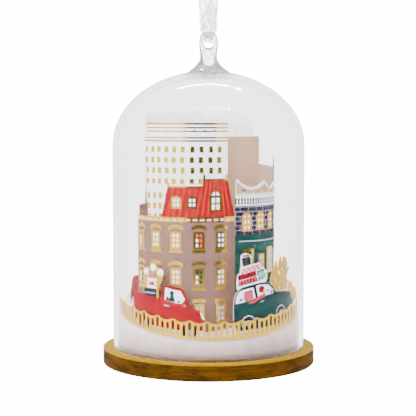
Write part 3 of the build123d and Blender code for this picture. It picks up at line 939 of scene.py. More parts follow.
def make_shop():
    """A brick storey with a white balustrade and parapet, over a green shop front."""
    sheet = Sheet("shop_sheet")

    def band(ink_used, low, top, left=SHOP_LEFT, right=SHOP_RIGHT):
        sheet.turned(ink_used, [(left, top), (left, low), (right, low), (right, top)])

    sheet.ground(WHITE, SHOP_PARAPET)
    inside = SHOP_PARAPET[1:]
    for shade, drop, left in ((NAVY, 0.45, 9.7), (WHITE, 0.62, 9.9), (GREY_TAUPE, 1.0, 10.6)):
        low = 56.2 + (drop - 0.45)
        crest = [(max(left, angle), height - drop) for angle, height in inside]
        sheet.turned(shade, [(left, low), *crest, (SHOP_RIGHT, low)])
    for number in range(13):
        x = sheet.along(13.2 + number * 6.4)
        if number % 2:
            sheet.box(WHITE, x, 56.9, 0.3, 1.4)
            sheet.oval(GOLD, x, 57.9, 0.62, 0.42, 8)
        else:
            sheet.shape(SATIN_GOLD, [(x - 0.9, 56.9), (x + 0.9, 56.9), (x + 0.4, 57.9), (x - 0.4, 57.9)])
    band(WHITE, 55.3, 56.2)
    band(NAVY, 42.0, 55.3)
    sheet.turned_stroke(LILAC, [(SHOP_LEFT, 55.6), (SHOP_RIGHT, 55.6)], 0.12)
    band(WHITE, 52.5, 53.05)
    first, last, pitch = sheet.along(SHOP_LEFT + 0.4), sheet.along(SHOP_RIGHT - 0.4), sheet.along(3.75)
    for number in range(int((last - first) / pitch)):
        x = first + (number + 0.5) * pitch
        left = [(x - 0.2, 52.9), (x - 0.2, 53.4), (x - 0.34, 53.9), (x - 0.2, 54.6), (x - 0.3, 55.35)]
        sheet.shape(WHITE, mirrored(x, left))
    # brick courses
    course, brick = 1.65, 3.2
    for row in range(6):
        low = 42.2 + row * course
        sheet.turned_stroke(LILAC, [(SHOP_LEFT, low + course), (SHOP_RIGHT, low + course)], 0.14)
        shift = brick / 2 if row % 2 else 0.0
        for number in range(int((last - first - shift) / brick) + 1):
            x = first + shift + number * brick
            if x < last:
                sheet.stroke(LILAC, [(x, low + 0.1), (x, low + course - 0.1)], 0.14)
    for angle, foot, width in ((23.5, 43.4, 3.9), (43.0, 43.7, 3.8), (62.5, 43.7, 3.5), (81.0, 43.7, 3.5)):
        x = sheet.along(angle)
        sheet.arch(SATIN_GOLD, x, foot, width, 6.7, 1.8, 8)
        lattice(sheet, x, foot + 0.1, width - 0.3, 4.7, 2, 2, (PANE,), bar=0.7, corner=0.25)
        for side in (-1, 1):
            sheet.oval(PANE, x + side * width * 0.2, foot + 5.35, 0.36, 0.42, 6)
    # shop front
    sheet.ground(GREEN, [(SHOP_LEFT, 42.2), (SHOP_RIGHT, 42.2)])
    band(TEAL, 40.6, 41.6)
    for number in range(24):
        sheet.dot(LEAF, 11 + number * 3.5, 41.1, 0.18, 6)
    wave = [(14.0 + step * 3.0, 39.9 + (0.25 if step % 2 else -0.1)) for step in range(27)]
    sheet.turned_stroke(WHITE, wave, 0.18)
    for number in range(20):
        x = sheet.along(11.5 + number * 4.2)
        sheet.stroke(TEAL, [(x, 24.5), (x, 38.6)], 0.13)
    band(GOLD, 25.0, 37.2, 18.6, 32.8)
    x = sheet.along(25.7)
    lattice(sheet, x, 31.6, 3.4, 5.2, 2, 2, (NAVY,), bar=0.55)
    sheet.box(GREEN, x, 25.6, 2.9, 5.2)
    sheet.box(GOLD, x, 26.2, 1.9, 3.8)
    for left, right, foot, top, rows in (
        (38.3, 49.5, 28.0, 35.2, 3), (55.0, 69.8, 28.0, 37.4, 2), (74.0, 88.0, 28.0, 36.0, 2)
    ):
        band(GOLD, foot, top, left, right)
        x, width = sheet.along((left + right) / 2), sheet.along(right - left)
        lattice(sheet, x, foot + 0.25, width - 0.5, top - foot - 0.5, 2, rows, (LILAC,), bar=0.5)
    for number in range(7):
        sheet.dot(WHITE, 34.0 + 9 * number, 38.2 - (number % 2) * 0.9, 0.2, 6)
    put_sheet(sheet, "printed_shop", WHITE, "printed_card")


# ---- towers -----------------------------------------------------------------------------------
TOWER_COLUMNS = (-49.8, -42.0, -35.0, -27.3, -19.9, -12.3, -3.8, 4.0, 12.3, 20.1)
TOWER_ROWS = (72.4, 68.7, 65.0, 61.2, 56.1, 52.4, 48.6, 44.8)  # middle heights of the windows
TOWER_STRIPES = (  # height, left end and width
    (81.35, -48.4, 0.65), (80.0, -48.4, 0.55), (78.7, -48.4, 0.45), (76.5, -52.5, 0.55), (75.4, -52.5, 0.6),
)


def make_white_tower():
    """A white tower with gold windows."""
    sheet = Sheet("white_tower_sheet")
    sheet.ground(WHITE, [(-47.9, 50.0), (-52.8, 77.2), (-48.6, 77.2), (-48.6, 81.7), (28.0, 81.7)])
    for height, start, width in TOWER_STRIPES:
        sheet.turned_stroke(GOLD, [(start, height), (27.8, height)], width)
    for number in range(9):
        x = sheet.along(-45.5 + number * 8.8)
        sheet.shape(GOLD, [(x - 0.75, 78.6), (x + 0.75, 78.6), (x, 79.5)])
    for angle in TOWER_COLUMNS:
        lean = 0.006 * max(0.0, -22 - angle)  # the left columns slope with the sheet's edge
        for number, middle in enumerate(TOWER_ROWS):
            width = 1.4 + 0.12 * ((number + round(angle)) % 2)
            tall = 1.9 if number == 3 else 2.15
            x = sheet.along(angle + lean * (TOWER_ROWS[0] - middle) + 0.3 * (-1) ** number)
            sheet.box(GOLD, x, middle - tall / 2, width, tall)
    put_sheet(sheet, "white_tower", WHITE, "white_card")


def make_taupe_tower():
    """A taupe tower with rows of narrow gold windows."""
    sheet = Sheet("taupe_tower_sheet")
    sheet.ground(GREY_TAUPE, [(-10.0, 76.8), (67.7, 76.8)])
    for number in range(15):
        for angle, width in ((-2.0, 2.0), (13.3, 2.15), (28.5, 2.1), (39.6, 1.5), (51.0, 1.5), (61.2, 1.4)):
            sheet.box(SATIN_GOLD, sheet.along(angle), 75.4 - number * 2.6, width, 0.65)
    put_sheet(sheet, "taupe_tower", WHITE, "printed_card")


# ---- the back row -----------------------------------------------------------------------------
SKYLINE_ROOFS = [
    (140.0, 82.3), (159.3, 87.6), (167.3, 87.6), (167.3, 84.4), (183.0, 84.4), (183.0, 86.0),
    (246.0, 86.0),
]
SKYLINE_BLOCKS = (  # first and last angle, height of the cornice, and degrees between columns
    (141, 166, 80.5, 5.2), (168.5, 182.5, 82.4, 4.6), (185, 214, 84.0, 5.4), (217, 245, 84.0, 5.4),
)
TOWNHOUSE_ROOF = [(106.6, 65.2), (107.0, 66.8), (107.3, 68.7), (107.6, 66.8), (108.2, 65.2), (138.6, 66.1)]
TERRACE_ROOF = [
    (245.0, 51.6), (247.6, 51.6), (248.2, 54.0), (248.6, 56.2), (249.0, 54.0), (249.6, 51.6),
    (273.0, 51.6),
]


def make_skyline():
    """Pale tower blocks, their printed side to the back."""
    sheet = Sheet("skyline_sheet")
    sheet.ground(VELLUM, SKYLINE_ROOFS)
    for first, last, top, pitch in SKYLINE_BLOCKS:
        sheet.turned_stroke(GOLD, [(first, top), (last, top)], 0.4)
        columns = int((last - first) / pitch)
        for column in range(columns):
            angle = first + (last - first) * (column + 0.5) / columns
            for row in range(13):
                sheet.box(GOLD, sheet.along(angle), top - 3.2 - row * 3.6, 1.3, 2.0)
    for angle in (167.4, 183.6, 215.5):
        sheet.turned_stroke(LILAC, [(angle, 28.0), (angle, 83.6)], 0.2)
    put_sheet(sheet, "pale_skyline", VELLUM, "white_card")


def make_rear_townhouse():
    """A taupe block at the back, with hooded windows."""
    sheet = Sheet("rear_townhouse_sheet")
    sheet.ground(TAUPE, TOWNHOUSE_ROOF)
    sheet.turned_stroke(GOLD, [(106.8, 64.7), (138.4, 65.5)], 0.5)
    sheet.turned_stroke(GOLD, [(106.8, 62.8), (138.4, 63.4)], 0.35)
    for row in range(5):
        for angle in (112.0, 122.6, 133.2):
            x, foot = sheet.along(angle), 56.2 - row * 8.0
            draw_hood(sheet, x, foot + 5.2, 3.6, 0.5, 0.6)
            sheet.box(GOLD, x, foot, 2.8, 4.9)
            lattice(sheet, x, foot + 0.2, 2.5, 4.5, 2, 2, (PANE,), bar=0.4)
    put_sheet(sheet, "rear_townhouse", GREY_TAUPE, "printed_card")


def make_rear_terrace():
    """A low red block at the back."""
    sheet = Sheet("rear_terrace_sheet")
    sheet.ground(DUSTY_RED, TERRACE_ROOF)
    sheet.turned_stroke(GOLD, [(245.2, 50.9), (272.8, 50.9)], 0.5)
    for row in range(3):
        for angle in (250.0, 259.0, 268.0):
            x, foot = sheet.along(angle), 43.0 - row * 7.6
            sheet.box(GOLD, x, foot, 2.6, 4.8)
            lattice(sheet, x, foot + 0.2, 2.3, 4.4, 2, 2, (PANE,), bar=0.4)
            draw_sill(sheet, x, foot - 1.0, 3.0, 3.4, 0.8)
    put_sheet(sheet, "rear_terrace", TAUPE, "printed_card")


VAN_OUTLINE = [
    (224.4, 20.6), (224.4, 23.4), (225.8, 24.4), (228.6, 24.9), (246.0, 24.3), (255.8, 24.5), (258.6, 24.3),
    (260.4, 23.0), (261.8, 21.2), (263.7, 20.5), (266.2, 20.2), (268.0, 18.2), (270.2, 16.2), (271.8, 15.6),
    (271.8, 14.4),
]
VAN_FOOT = [(258.0, 14.6), (242.0, 16.6), (225.4, 19.4)]


def make_rear_van():
    """A dusty red van at the back left."""
    sheet = Sheet("rear_van_sheet")
    body = sheet.flat(VAN_OUTLINE + VAN_FOOT)
    sheet.shape(WHITE, grown(body, 2 * BORDER))
    sheet.ground(WHITE, [(225.0, 20.4), (271.4, 15.4)])
    sheet.shape(VAN_RED, body)
    sheet.turned(WHITE, [(252.6, 23.7), (258.0, 23.6), (259.6, 22.6), (260.8, 21.0), (253.0, 20.6)])
    sheet.turned_stroke(WHITE, [(230.0, 22.8), (250.0, 22.0)], 0.25)
    for angle, height in ((233.5, 18.6), (263.5, 15.4)):
        draw_wheel(sheet, angle, height, 2.1)
    put_sheet(sheet, "rear_van", DUSTY_RED, "printed_card")


# ---- picket fence -----------------------------------------------------------------------------
PICKETS_ROUND = 102  # in a whole turn
FENCE_LAP = 0.7  # depth of its foot in the snow
FENCE_START = -80.3  # degrees, at a low point of the scalloped top
FENCE_END = 127.9
RAIL, TOP_RAIL = 0.95, 0.75
GAP_SHARE = 0.54  # of the pickets' pitch
GAP_ROUND = 0.3
SCALLOP_LOW, SCALLOP_PEAK = 5.6, 6.7
SCALLOP_STEPS = 8


def make_fence():
    """A strip of scalloped pickets that follows the snow's slope."""
    sheet = Sheet("picket_fence")
    pitch = 2 * pi * sheet.outer / MM / PICKETS_ROUND
    start = sheet.along(FENCE_START)
    pickets = round((sheet.along(FENCE_END) - start) / pitch)
    end = start + pickets * pitch
    swag = 3 * pitch

    def scallop(x):
        share = abs(2 * (((x - start) / swag + 0.5) % 1) - 1)
        return SCALLOP_LOW + (SCALLOP_PEAK - SCALLOP_LOW) * share**2

    count = ceil((end - start) / swag * SCALLOP_STEPS)
    top = [(x, scallop(x)) for x in (start + (end - start) * step / count for step in range(count + 1))]
    sheet.shape(FENCE_GOLD, [(start, 0.0), (end, 0.0)] + top[::-1])
    for number in range(pickets):
        x = start + (number + 0.5) * pitch
        sheet.arch(None, x, RAIL, pitch * GAP_SHARE, scallop(x) - TOP_RAIL - RAIL, GAP_ROUND, 4)

    def follow(x):
        return sheet.snow(x) - FENCE_LAP

    put_sheet(sheet, "scalloped_fence", FENCE_GOLD, "gold_foil_card", follow=follow)


# ---- snow -------------------------------------------------------------------------------------
SNOW_EDGE = 0.7  # rounding of the block's upper edge
SNOW_INSET = 0.1  # the felt keeps this far inside the block's outline
SNOW_SINK = 0.15  # the felt's mean height below the block's top, so that its lumps stay in it
SNOW_TURNS = 144
SNOW_BULGE = 0.95  # the side swells nearly to the glass, between the glue and the fence's foot
SNOW_SIDE = (  # share of the height there, mm added, and share of the bulge
    (0, 0.02, 0), (0, 1.2, 0), (0, 1.9, 0.8), (0, 2.8, 1), (0.5, 0, 1), (1, -2.8, 1), (1, -1.9, 0.8),
    (1, -1.3, 0.15),
)
SNOW_EDGE_RINGS, SNOW_TOP_RINGS = 4, 29


BROAD_LUMP, BROAD_SIZE = 0.32, 5.0  # height of the felt's lumps, and distance between them
FINE_LUMP, FINE_SIZE = 0.14, 1.6
SIDE_LUMP = 0.08


def snow_lump(x, y, share):
    """Unevenness of the felt in mm: fine everywhere, and broad by a share."""
    broad = BROAD_LUMP * noise.noise(Vector((x / BROAD_SIZE, y / BROAD_SIZE, 0)))
    fine = FINE_LUMP * noise.noise(Vector((x / FINE_SIZE, y / FINE_SIZE, 3)))
    return broad * share + fine


def make_snow():
    """A block of felted snow: a soft edge, and gentle lumps over the slope."""
    radius = SNOW_RADIUS / MM - SNOW_INSET
    vertices, faces = [], []
    for share, above, bulge in SNOW_SIDE:
        for step in range(SNOW_TURNS):
            turn = 2 * pi * step / SNOW_TURNS
            top = snow_at(radius * cos(turn) * MM, radius * sin(turn) * MM)
            height = share * top + above
            swell = SIDE_LUMP * noise.noise(Vector((cos(turn) * 6, sin(turn) * 6, height / 3)))
            reach = radius + bulge * SNOW_BULGE + swell
            vertices.append((reach * cos(turn) * MM, reach * sin(turn) * MM, high(height)))
    rings = []  # reach and drop below the slope
    for ring in range(SNOW_EDGE_RINGS):
        turn_down = radians(90 * ring / SNOW_EDGE_RINGS)
        rings.append((radius - SNOW_EDGE * (1 - cos(turn_down)), SNOW_EDGE * (1 - sin(turn_down))))
    rings += [((radius - SNOW_EDGE) * (1 - ring / SNOW_TOP_RINGS), 0.0) for ring in range(SNOW_TOP_RINGS)]
    for reach, drop in rings:
        for step in range(SNOW_TURNS):
            turn = 2 * pi * step / SNOW_TURNS
            x, y = reach * cos(turn), reach * sin(turn)
            lift = snow_lump(x, y, min(1.0, (radius - reach) / 4)) - drop - SNOW_SINK
            vertices.append((x * MM, y * MM, high(snow_at(x * MM, y * MM) + lift)))
    loops = len(vertices) // SNOW_TURNS
    for loop in range(loops - 1):
        for step in range(SNOW_TURNS):
            a, b = loop * SNOW_TURNS + step, loop * SNOW_TURNS + (step + 1) % SNOW_TURNS
            faces.append((a, b, b + SNOW_TURNS, a + SNOW_TURNS))
    crown, last = len(vertices), (loops - 1) * SNOW_TURNS
    vertices.append((0, 0, high(snow_at(0, 0) - SNOW_SINK + snow_lump(0, 0, 1))))
    faces += [(last + step, last + (step + 1) % SNOW_TURNS, crown) for step in range(SNOW_TURNS)]
    faces.append(tuple(range(SNOW_TURNS - 1, -1, -1)))
    piece = new_piece("felt_snow", vertices, faces, [make_felt_snow_painted_shade()], sharp=80)
    settle(piece, "ornament", "snow", "snow_block")


# ---- glass ------------------------------------------------------------------------------------
DOME_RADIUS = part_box("glass_dome")[1].x / MM
GLASS_WALL = 1.5
RIM_ROUND = 0.7
SHOULDER = 73.5
CROWN_RISE = 26.8
NECK = [(7.9, 99.6), (6.5, 100.6), (5.3, 101.5), (4.4, 102.4), (3.7, 103.3)]  # radius and height
NECK_SWEEP = 0.8  # the dome stops this far out from the neck's foot, for a smooth sweep into it
STEM_HEIGHT, STEM_RADIUS = 104.2, 3.2
AROUND = 128


def glass_profile():
    """The blown wall from the rim's inside up to the crown's inside, then outside up to the stem."""
    inner_radius, inner_rise = DOME_RADIUS - GLASS_WALL, CROWN_RISE - GLASS_WALL
    middle = DOME_RADIUS - GLASS_WALL / 2
    steps = 26
    turns = [pi / 2 * step / steps for step in range(steps + 1)]
    inner = [(inner_radius * cos(turn), SHOULDER + inner_rise * sin(turn)) for turn in turns[:-1]]
    outer = [(DOME_RADIUS * cos(turn), SHOULDER + CROWN_RISE * sin(turn)) for turn in turns]
    outer = [point for point in outer if point[0] > NECK[0][0] + NECK_SWEEP]
    rim = [
        (middle - RIM_ROUND * cos(pi * step / 8), RIM_ROUND - RIM_ROUND * sin(pi * step / 8))
        for step in range(9)
    ]
    straight = (60.0, 45.0, 30.0, 15.0, 2.0)
    down = [(inner_radius, height) for height in straight]
    up = [(DOME_RADIUS, height) for height in straight[::-1]]
    return inner[::-1] + down + rim + up + outer + NECK


EYE_ROWS = [  # height, half width, inner half width, outer half depth, inner half depth
    (STEM_HEIGHT, 3.28, 1.36, 1.36, 3.28),
    (106.0, 3.0, 1.25, 1.25, 2.6),
    (108.5, 3.5, 1.9, 1.0, 1.5),
    (112.1, 3.5, 1.9, 1.0, 1.5),
    (114.3, 2.3, 1.0, 0.9, 1.2),
]
HOLE = (2, 1)  # row and column of the cage that the eye's hole goes through


def eye_cage():
    """Corners and faces of the coarse cage that is smoothed into the drawn glass eye."""
    corners, faces = [], []
    for height, wide, narrow, shallow, deep in EYE_ROWS:
        for side in (-1, 1):
            for x, y in ((-wide, shallow), (-narrow, deep), (narrow, deep), (wide, shallow)):
                corners.append((x * MM, side * y * MM, high(height)))

    def face(*places):
        """A face by the row, side and column of its corners."""
        faces.append([row * 8 + side * 4 + column for row, side, column in places])

    for row in range(4):
        above = row + 1
        for column in range(3):
            if (row, column) == HOLE:
                continue
            after = column + 1
            face((row, 0, column), (row, 0, after), (above, 0, after), (above, 0, column))
            face((row, 1, after), (row, 1, column), (above, 1, column), (above, 1, after))
        face((row, 1, 0), (row, 0, 0), (above, 0, 0), (above, 1, 0))
        face((row, 0, 3), (row, 1, 3), (above, 1, 3), (above, 0, 3))
    for column in range(3):
        face((4, 0, column), (4, 0, column + 1), (4, 1, column + 1), (4, 1, column))
    face((2, 0, 1), (2, 0, 2), (2, 1, 2), (2, 1, 1))
    face((3, 0, 2), (3, 0, 1), (3, 1, 1), (3, 1, 2))
    face((2, 0, 2), (3, 0, 2), (3, 1, 2), (2, 1, 2))
    face((3, 0, 1), (2, 0, 1), (2, 1, 1), (3, 1, 1))
    return corners, faces


def subdivided(corners, faces, levels):
    """The cage after Catmull-Clark subdivision, as vertices and faces."""
    mesh = bpy.data.meshes.new("cage")
    mesh.from_pydata(corners, [], faces)
    cage = placed("cage", mesh)
    smooth = cage.modifiers.new("smooth", "SUBSURF")
    smooth.levels = smooth.render_levels = levels
    depsgraph = bpy.context.evaluated_depsgraph_get()
    made = bpy.data.meshes.new_from_object(cage.evaluated_get(depsgraph))
    vertices = [v.co.copy() for v in made.vertices]
    polygons = [tuple(p.vertices) for p in made.polygons]
    bpy.data.objects.remove(cage)
    return vertices, polygons


def make_glass_piece():
    """Dome, neck and eye as one blown piece."""
    profile = glass_profile()
    vertices, faces = [], []
    for radius, height in profile:
        for step in range(AROUND):
            turn = 2 * pi * step / AROUND
            vertices.append((radius * cos(turn) * MM, radius * sin(turn) * MM, high(height)))
    for ring in range(len(profile) - 1):
        for step in range(AROUND):
            after = (step + 1) % AROUND
            a, b = ring * AROUND + step, ring * AROUND + after
            faces.append((a, b, b + AROUND, a + AROUND))
    crown = len(vertices)
    vertices.append((0, 0, high(SHOULDER + CROWN_RISE - GLASS_WALL)))
    faces += [(crown, (step + 1) % AROUND, step) for step in range(AROUND)]
    eye, eye_faces = subdivided(*eye_cage(), 4)
    low = high(STEM_HEIGHT) + 0.0001 * MM
    ring = sorted(
        (index for index, point in enumerate(eye) if point.z < low),
        key=lambda index: np.arctan2(eye[index].y, eye[index].x) % (2 * pi),
    )
    if len(ring) != AROUND:
        raise RuntimeError(f"the eye's foot has {len(ring)} points, and the stem has {AROUND}")
    for step, index in enumerate(ring):
        turn = 2 * pi * step / AROUND
        eye[index] = Vector((STEM_RADIUS * cos(turn) * MM, STEM_RADIUS * sin(turn) * MM, high(STEM_HEIGHT)))
    start, last = len(vertices), (len(profile) - 1) * AROUND
    vertices += eye
    faces += [tuple(start + corner for corner in face) for face in eye_faces]
    for step in range(AROUND):
        after = (step + 1) % AROUND
        faces.append((last + step, last + after, start + ring[after], start + ring[step]))
    neck_foot = high(NECK[0][1] - 0.5)
    drawn = [int(max(vertices[corner][2] for corner in face) > neck_foot) for face in faces]
    piece = new_piece("blown_glass", vertices, faces, [make_glass(), make_drawn_glass()], drawn, sharp=60)
    settle(piece, "ornament", "glass", "glass_dome", "glass_hanger")


# ---- ribbon -----------------------------------------------------------------------------------
RIBBON_WIDTH = 7.6
SPREAD_RISE, SPREAD_WIDTH = 3.4, 6.0  # height above the bar where the cloth is this wide again
GATHER_HALF = 1.4  # half the width of the cloth bunched in the eye
OPENS_AT = -0.6  # height from the bar where the cloth starts to open
KNOT_FOOT = 132.0
TIED_RISE = 3.5  # below the knot the ribbon narrows over this height
PLEAT, CRUMPLE, CRINKLE, EDGE_WANDER = 0.3, 0.75, 0.3, 0.35  # depths of the cloth's relief
CLOTH_THICK = 0.08
RIBBON_ROUTE = [  # y and height
    (-1.95, 132.0), (-1.95, 121.0), (-1.95, 113.0), (-1.95, 110.4), (1.95, 110.4), (1.95, 113.0),
    (1.95, 121.0), (1.95, 132.0),
]
BAR_HEIGHT = 112.5


def route_points():
    """Points read from the route's NURBS spline."""
    curve = bpy.data.curves.new("route", "CURVE")
    curve.dimensions = "3D"
    curve.resolution_u = 24
    spline = curve.splines.new("NURBS")
    spline.points.add(len(RIBBON_ROUTE) - 1)
    for point, (y, height) in zip(spline.points, RIBBON_ROUTE):
        point.co = (0, y * MM, high(height), 1)
    spline.order_u = 3
    spline.use_endpoint_u = True
    line = placed("route", curve)
    depsgraph = bpy.context.evaluated_depsgraph_get()
    mesh = bpy.data.meshes.new_from_object(line.evaluated_get(depsgraph))
    points = [v.co.copy() for v in mesh.vertices]
    bpy.data.objects.remove(line)
    return points


def smooth_step(value):
    """Eases from 0 to 1."""
    share = max(0.0, min(1.0, value))
    return share * share * (3 - 2 * share)


def opening(rise):
    """How far the cloth has opened out at a height: 0 bunched in the eye, 1 open."""
    return smooth_step((rise - BAR_HEIGHT - OPENS_AT) / SPREAD_RISE)


def ribbon_half(rise):
    """Half the ribbon's width at a height: bunched at the eye, widening up to the knot."""
    opened = opening(rise)
    widened = max(0.0, (rise - BAR_HEIGHT - SPREAD_RISE) / (KNOT_FOOT - BAR_HEIGHT - SPREAD_RISE))
    spread = (SPREAD_WIDTH + (RIBBON_WIDTH - SPREAD_WIDTH) * widened) / 2
    tied = 1 - 0.45 * smooth_step((rise - KNOT_FOOT + TIED_RISE) / TIED_RISE)
    return (GATHER_HALF + (spread - GATHER_HALF) * opened) * tied


def make_ribbon(knot):
    """Sheer ribbon through the eye: gathered where it passes the glass, crumpled and open above."""
    path = route_points()
    across = 56
    vertices, faces = [], []
    for number, here in enumerate(path):
        before, after = path[max(0, number - 1)], path[min(len(path) - 1, number + 1)]
        outward = (after - before).normalized().cross(Vector((1, 0, 0)))
        rise = (here.z - FACE_Z) / MM
        opened = opening(rise)
        side = -1 if here.y < 0 else 1
        for step in range(across + 1):
            share = -1 + 2 * step / across
            drift = noise.noise(Vector((share * 1.3, rise * 0.22, side * 4.0)))
            pleat = sin(pi * (3.2 * share + 2.6 * drift))
            crumple = noise.noise(Vector((share * 3.4, rise * 0.45, side * 9.0)))
            crinkle = noise.noise(Vector((share * 8.0, rise * 1.3, side * 15.0)))
            depth = PLEAT * pleat * (1 - 0.4 * opened) + (CRUMPLE * crumple + CRINKLE * crinkle) * opened
            edge = EDGE_WANDER * noise.noise(Vector((side, rise * 0.45, share))) * opened
            x = ribbon_half(rise) * share + edge
            vertices.append(here + Vector((x * MM, 0, 0)) + outward * depth * MM)
    for number in range(len(path) - 1):
        for step in range(across):
            a = number * (across + 1) + step
            faces.append((a, a + 1, a + across + 2, a + across + 1))
    piece = new_piece("organza_ribbon", vertices, faces, [ORGANZA], sharp=80)
    thicken = piece.modifiers.new("cloth", "SOLIDIFY")
    thicken.thickness = CLOTH_THICK * MM
    thicken.offset = 0
    settle(piece, "ribbon", "organza", "hanging_ribbon")


KNOT_CENTRE = 135.0
KNOT_SIZE = 0.72  # mm for each unit of the knot's line, which reaches 3 units out
KNOT_FLAT, KNOT_LOW = 0.95, 0.92  # how far it is pressed along y and z
BAND_WIDE, BAND_THICK, BAND_RIPPLE = 1.25, 0.75, 0.16


def knot_line(t):
    """A trefoil, which is an overhand knot with its ends joined."""
    return Vector((sin(t) + 2 * sin(2 * t), -sin(3 * t) * 0.9, cos(t) - 2 * cos(2 * t)))


def make_knot():
    """The knot in both legs, its band folded lengthwise and drawn tight, with no tails."""
    turns, across = 120, 18
    vertices, faces = [], []
    for number in range(turns):
        t = 2 * pi * number / turns
        here = knot_line(t)
        tangent = (knot_line(t + 0.01) - here).normalized()
        sideways = tangent.cross(here.normalized()).normalized()
        outward = sideways.cross(tangent).normalized()
        for fold in range(across):
            turn = 2 * pi * fold / across
            ripple = 1 + BAND_RIPPLE * sin(5 * turn + 3 * t)
            offset = sideways * cos(turn) * BAND_WIDE * ripple + outward * sin(turn) * BAND_THICK * ripple
            x, y, z = (here * KNOT_SIZE + offset) * MM
            vertices.append((x, y * KNOT_FLAT, high(KNOT_CENTRE) + z * KNOT_LOW))
    for number in range(turns):
        here, after = number * across, (number + 1) % turns * across
        for fold in range(across):
            side = (fold + 1) % across
            faces.append((here + fold, here + side, after + side, after + fold))
    piece = new_piece("organza_knot", vertices, faces, [ORGANZA], sharp=80)
    return settle(piece, "knot", "organza", "ribbon_knot")


# ---- lights, surroundings and floor -----------------------------------------------------------
OPENING_SIDE, OPENING_UP = 0.14, 0.05  # tangents of the dark opening's middle, from straight ahead
OPENING_WIDE, OPENING_TALL = 0.60, 0.50
OPENING_LIGHT = 0.03
PATCH_NEAR, PATCH_NEAR_EDGE = 0.26, 0.44  # where the floor before the opening darkens, metres out
PATCH_LEFT, PATCH_RIGHT = -0.28, 1.7  # the dark floor's sides, as tangents from straight ahead
FLOOR_HALF = 3.0  # metres
FLOOR_DROP = 16.0  # the floor's depth below the hanging ornament
FLOOR_GLOW = 0.93  # share of the floor that glows like the backdrop


NEAR_GLASS = 2.5  # a ray that has crossed more faces than this is past the near side of the dome


class Values:
    """Number nodes of a node tree."""

    def __init__(self, tree):
        self.tree = tree

    def math(self, operation, first, second=0.0):
        node = self.tree.nodes.new("ShaderNodeMath")
        node.operation = operation
        for socket, value in zip(node.inputs, (first, second)):
            if isinstance(value, (int, float)):
                socket.default_value = value
            else:
                self.tree.links.new(value, socket)
        return node.outputs[0]

    def ramp(self, value, start, end, low, high_value):
        """Goes smoothly from low to high_value as value goes from start to end."""
        node = self.tree.nodes.new("ShaderNodeMapRange")
        node.interpolation_type = "SMOOTHSTEP"
        for key, number in (("From Min", start), ("From Max", end), ("To Min", low), ("To Max", high_value)):
            node.inputs[key].default_value = number
        self.tree.links.new(value, node.inputs["Value"])
        return node.outputs["Result"]

    def by_ray(self, pattern):
        """A strength: the pattern for lighting, and plain levels seen directly or through glass."""
        rays = self.tree.nodes.new("ShaderNodeLightPath").outputs
        past_glass = self.math("GREATER_THAN", rays["Transmission Depth"], NEAR_GLASS)
        mirrored = self.math("MULTIPLY", rays["Glossy Depth"], past_glass)
        bounces = self.math("ADD", mirrored, rays["Diffuse Depth"])
        through = self.math("MULTIPLY", rays["Is Transmission Ray"], self.math("LESS_THAN", bounces, 0.5))
        inside = self.mix(through, pattern, THROUGH_LIGHT)
        return self.mix(rays["Is Camera Ray"], inside, BACKDROP_LIGHT)

    def mix(self, share, first, second):
        node = self.tree.nodes.new("ShaderNodeMix")
        for socket, value in ((node.inputs[0], share), (node.inputs[2], first), (node.inputs[3], second)):
            if isinstance(value, float):
                socket.default_value = value
            else:
                self.tree.links.new(value, socket)
        return node.outputs[0]


def make_world():
    """A white studio with a dark opening beside the camera, which the foil and glass reflect."""
    world = bpy.data.worlds.new("studio")
    world.use_nodes = True
    tree = world.node_tree
    bpy.context.scene.world = world
    values = Values(tree)
    split = tree.nodes.new("ShaderNodeSeparateXYZ")
    tree.links.new(tree.nodes.new("ShaderNodeTexCoord").outputs["Generated"], split.inputs[0])
    x, y, z = split.outputs
    ahead = values.math("MAXIMUM", values.math("MULTIPLY", y, -1.0), 0.02)
    sideways = values.math("SUBTRACT", values.math("DIVIDE", x, ahead), OPENING_SIDE)
    upwards = values.math("SUBTRACT", values.math("DIVIDE", z, ahead), OPENING_UP)
    across = values.math("POWER", values.math("DIVIDE", sideways, OPENING_WIDE), 2.0)
    along = values.math("POWER", values.math("DIVIDE", upwards, OPENING_TALL), 2.0)
    pattern = values.ramp(values.math("ADD", across, along), 0.6, 1.3, OPENING_LIGHT, WHITE_LIGHT)
    background = tree.nodes["Background"]
    background.inputs["Color"].default_value = (1, 1, 1, 1)
    tree.links.new(values.by_ray(pattern), background.inputs["Strength"])


def make_lamp(name, size, power, place, aim, glint=False):
    """An area lamp; a glint lamp shows only as a highlight in the glass and foil."""
    data = bpy.data.lights.new(name, "AREA")
    data.shape = "RECTANGLE"
    data.size, data.size_y = size[0] * MM, size[1] * MM
    data.energy = power
    lamp = placed(name, data)
    lamp.location = (place[0] * MM, place[1] * MM, high(place[2]))
    towards = Vector((aim[0] * MM, aim[1] * MM, high(aim[2]))) - lamp.location
    lamp.visible_diffuse = lamp.visible_transmission = not glint
    lamp.rotation_mode = "QUATERNION"
    lamp.rotation_quaternion = towards.to_track_quat("-Z", "Y")


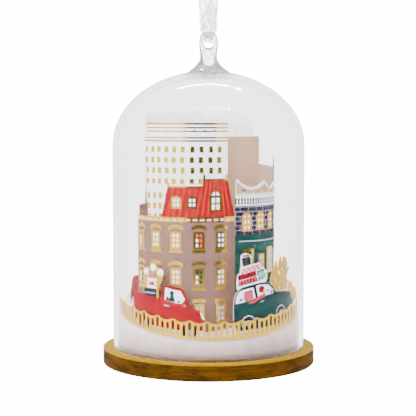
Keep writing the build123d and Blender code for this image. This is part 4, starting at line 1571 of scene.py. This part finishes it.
def make_floor():
    """A pale floor, burnt out like the backdrop, that darkens towards the opening in the studio."""
    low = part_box("wooden_base")[0].z - FLOOR_DROP * MM
    shade = Shader("pale_floor")
    shade.set(Base_Color=(0.85, 0.85, 0.85, 1))
    shade.rough(shade.spread(shade.noise(20), 0.7, 0.85))
    values = Values(shade.tree)
    split = shade.add("ShaderNodeSeparateXYZ")
    shade.join(shade.place, split.inputs[0])
    x, y, _ = split.outputs
    ahead = values.math("MAXIMUM", values.math("MULTIPLY", y, -1.0), 0.01)
    side = values.math("DIVIDE", x, ahead)
    out = values.math("SQRT", values.math("ADD", values.math("POWER", x, 2.0), values.math("POWER", y, 2.0)))
    dark = values.ramp(out, PATCH_NEAR, PATCH_NEAR_EDGE, 0.0, 1.0)
    dark = values.math("MULTIPLY", dark, values.ramp(side, PATCH_LEFT - 0.1, PATCH_LEFT + 0.1, 0.0, 1.0))
    dark = values.math("MULTIPLY", dark, values.ramp(side, PATCH_RIGHT - 0.2, PATCH_RIGHT + 0.2, 1.0, 0.0))
    pattern = values.ramp(dark, 0.0, 1.0, WHITE_LIGHT, OPENING_LIGHT)
    lit = shade.add("ShaderNodeEmission")
    shade.join(values.by_ray(pattern), lit.inputs["Strength"])
    shade.mixed(FLOOR_GLOW, shade.surface, lit)
    mesh = bpy.data.meshes.new("floor")
    corners = [(x * FLOOR_HALF, y * FLOOR_HALF, low) for x, y in ((-1, -1), (1, -1), (1, 1), (-1, 1))]
    mesh.from_pydata(corners, [], [(0, 1, 2, 3)])
    mesh.materials.append(shade.material)
    placed("floor", mesh)


def dress_node(node, material):
    """A CAD node that keeps its shape gets its material."""
    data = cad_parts[node].data
    data.materials.clear()
    data.materials.append(material)
    data.shade_smooth()
    data.set_sharp_from_angle(angle=radians(40))


ORGANZA = make_organza()
make_ribbon(make_knot())
make_glass_piece()
make_snow()
make_fence()
make_truck()
make_car()
make_trees()
make_brownstone()
make_shop()
make_white_tower()
make_taupe_tower()
make_skyline()
make_rear_townhouse()
make_rear_terrace()
make_rear_van()
dress_node("wooden_base", make_wood())
dress_node("gilt_card", make_gilt())
dress_node("glue_bead", make_glue_painted_shade())
make_world()
make_lamp("key", (260, 260), 1.2, (-300, -260, 260), (0, 0, 55))
make_lamp("front_strip", (260, 5), 9.0, (0, -120, 420), (0, 0, 90), glint=True)
make_lamp("back_strip", (260, 5), 9.0, (0, 170, 400), (0, 0, 95), glint=True)
make_lamp("side_strip", (7, 70), 6.0, (-230, -160, 330), (0, 0, 85), glint=True)
make_floor()
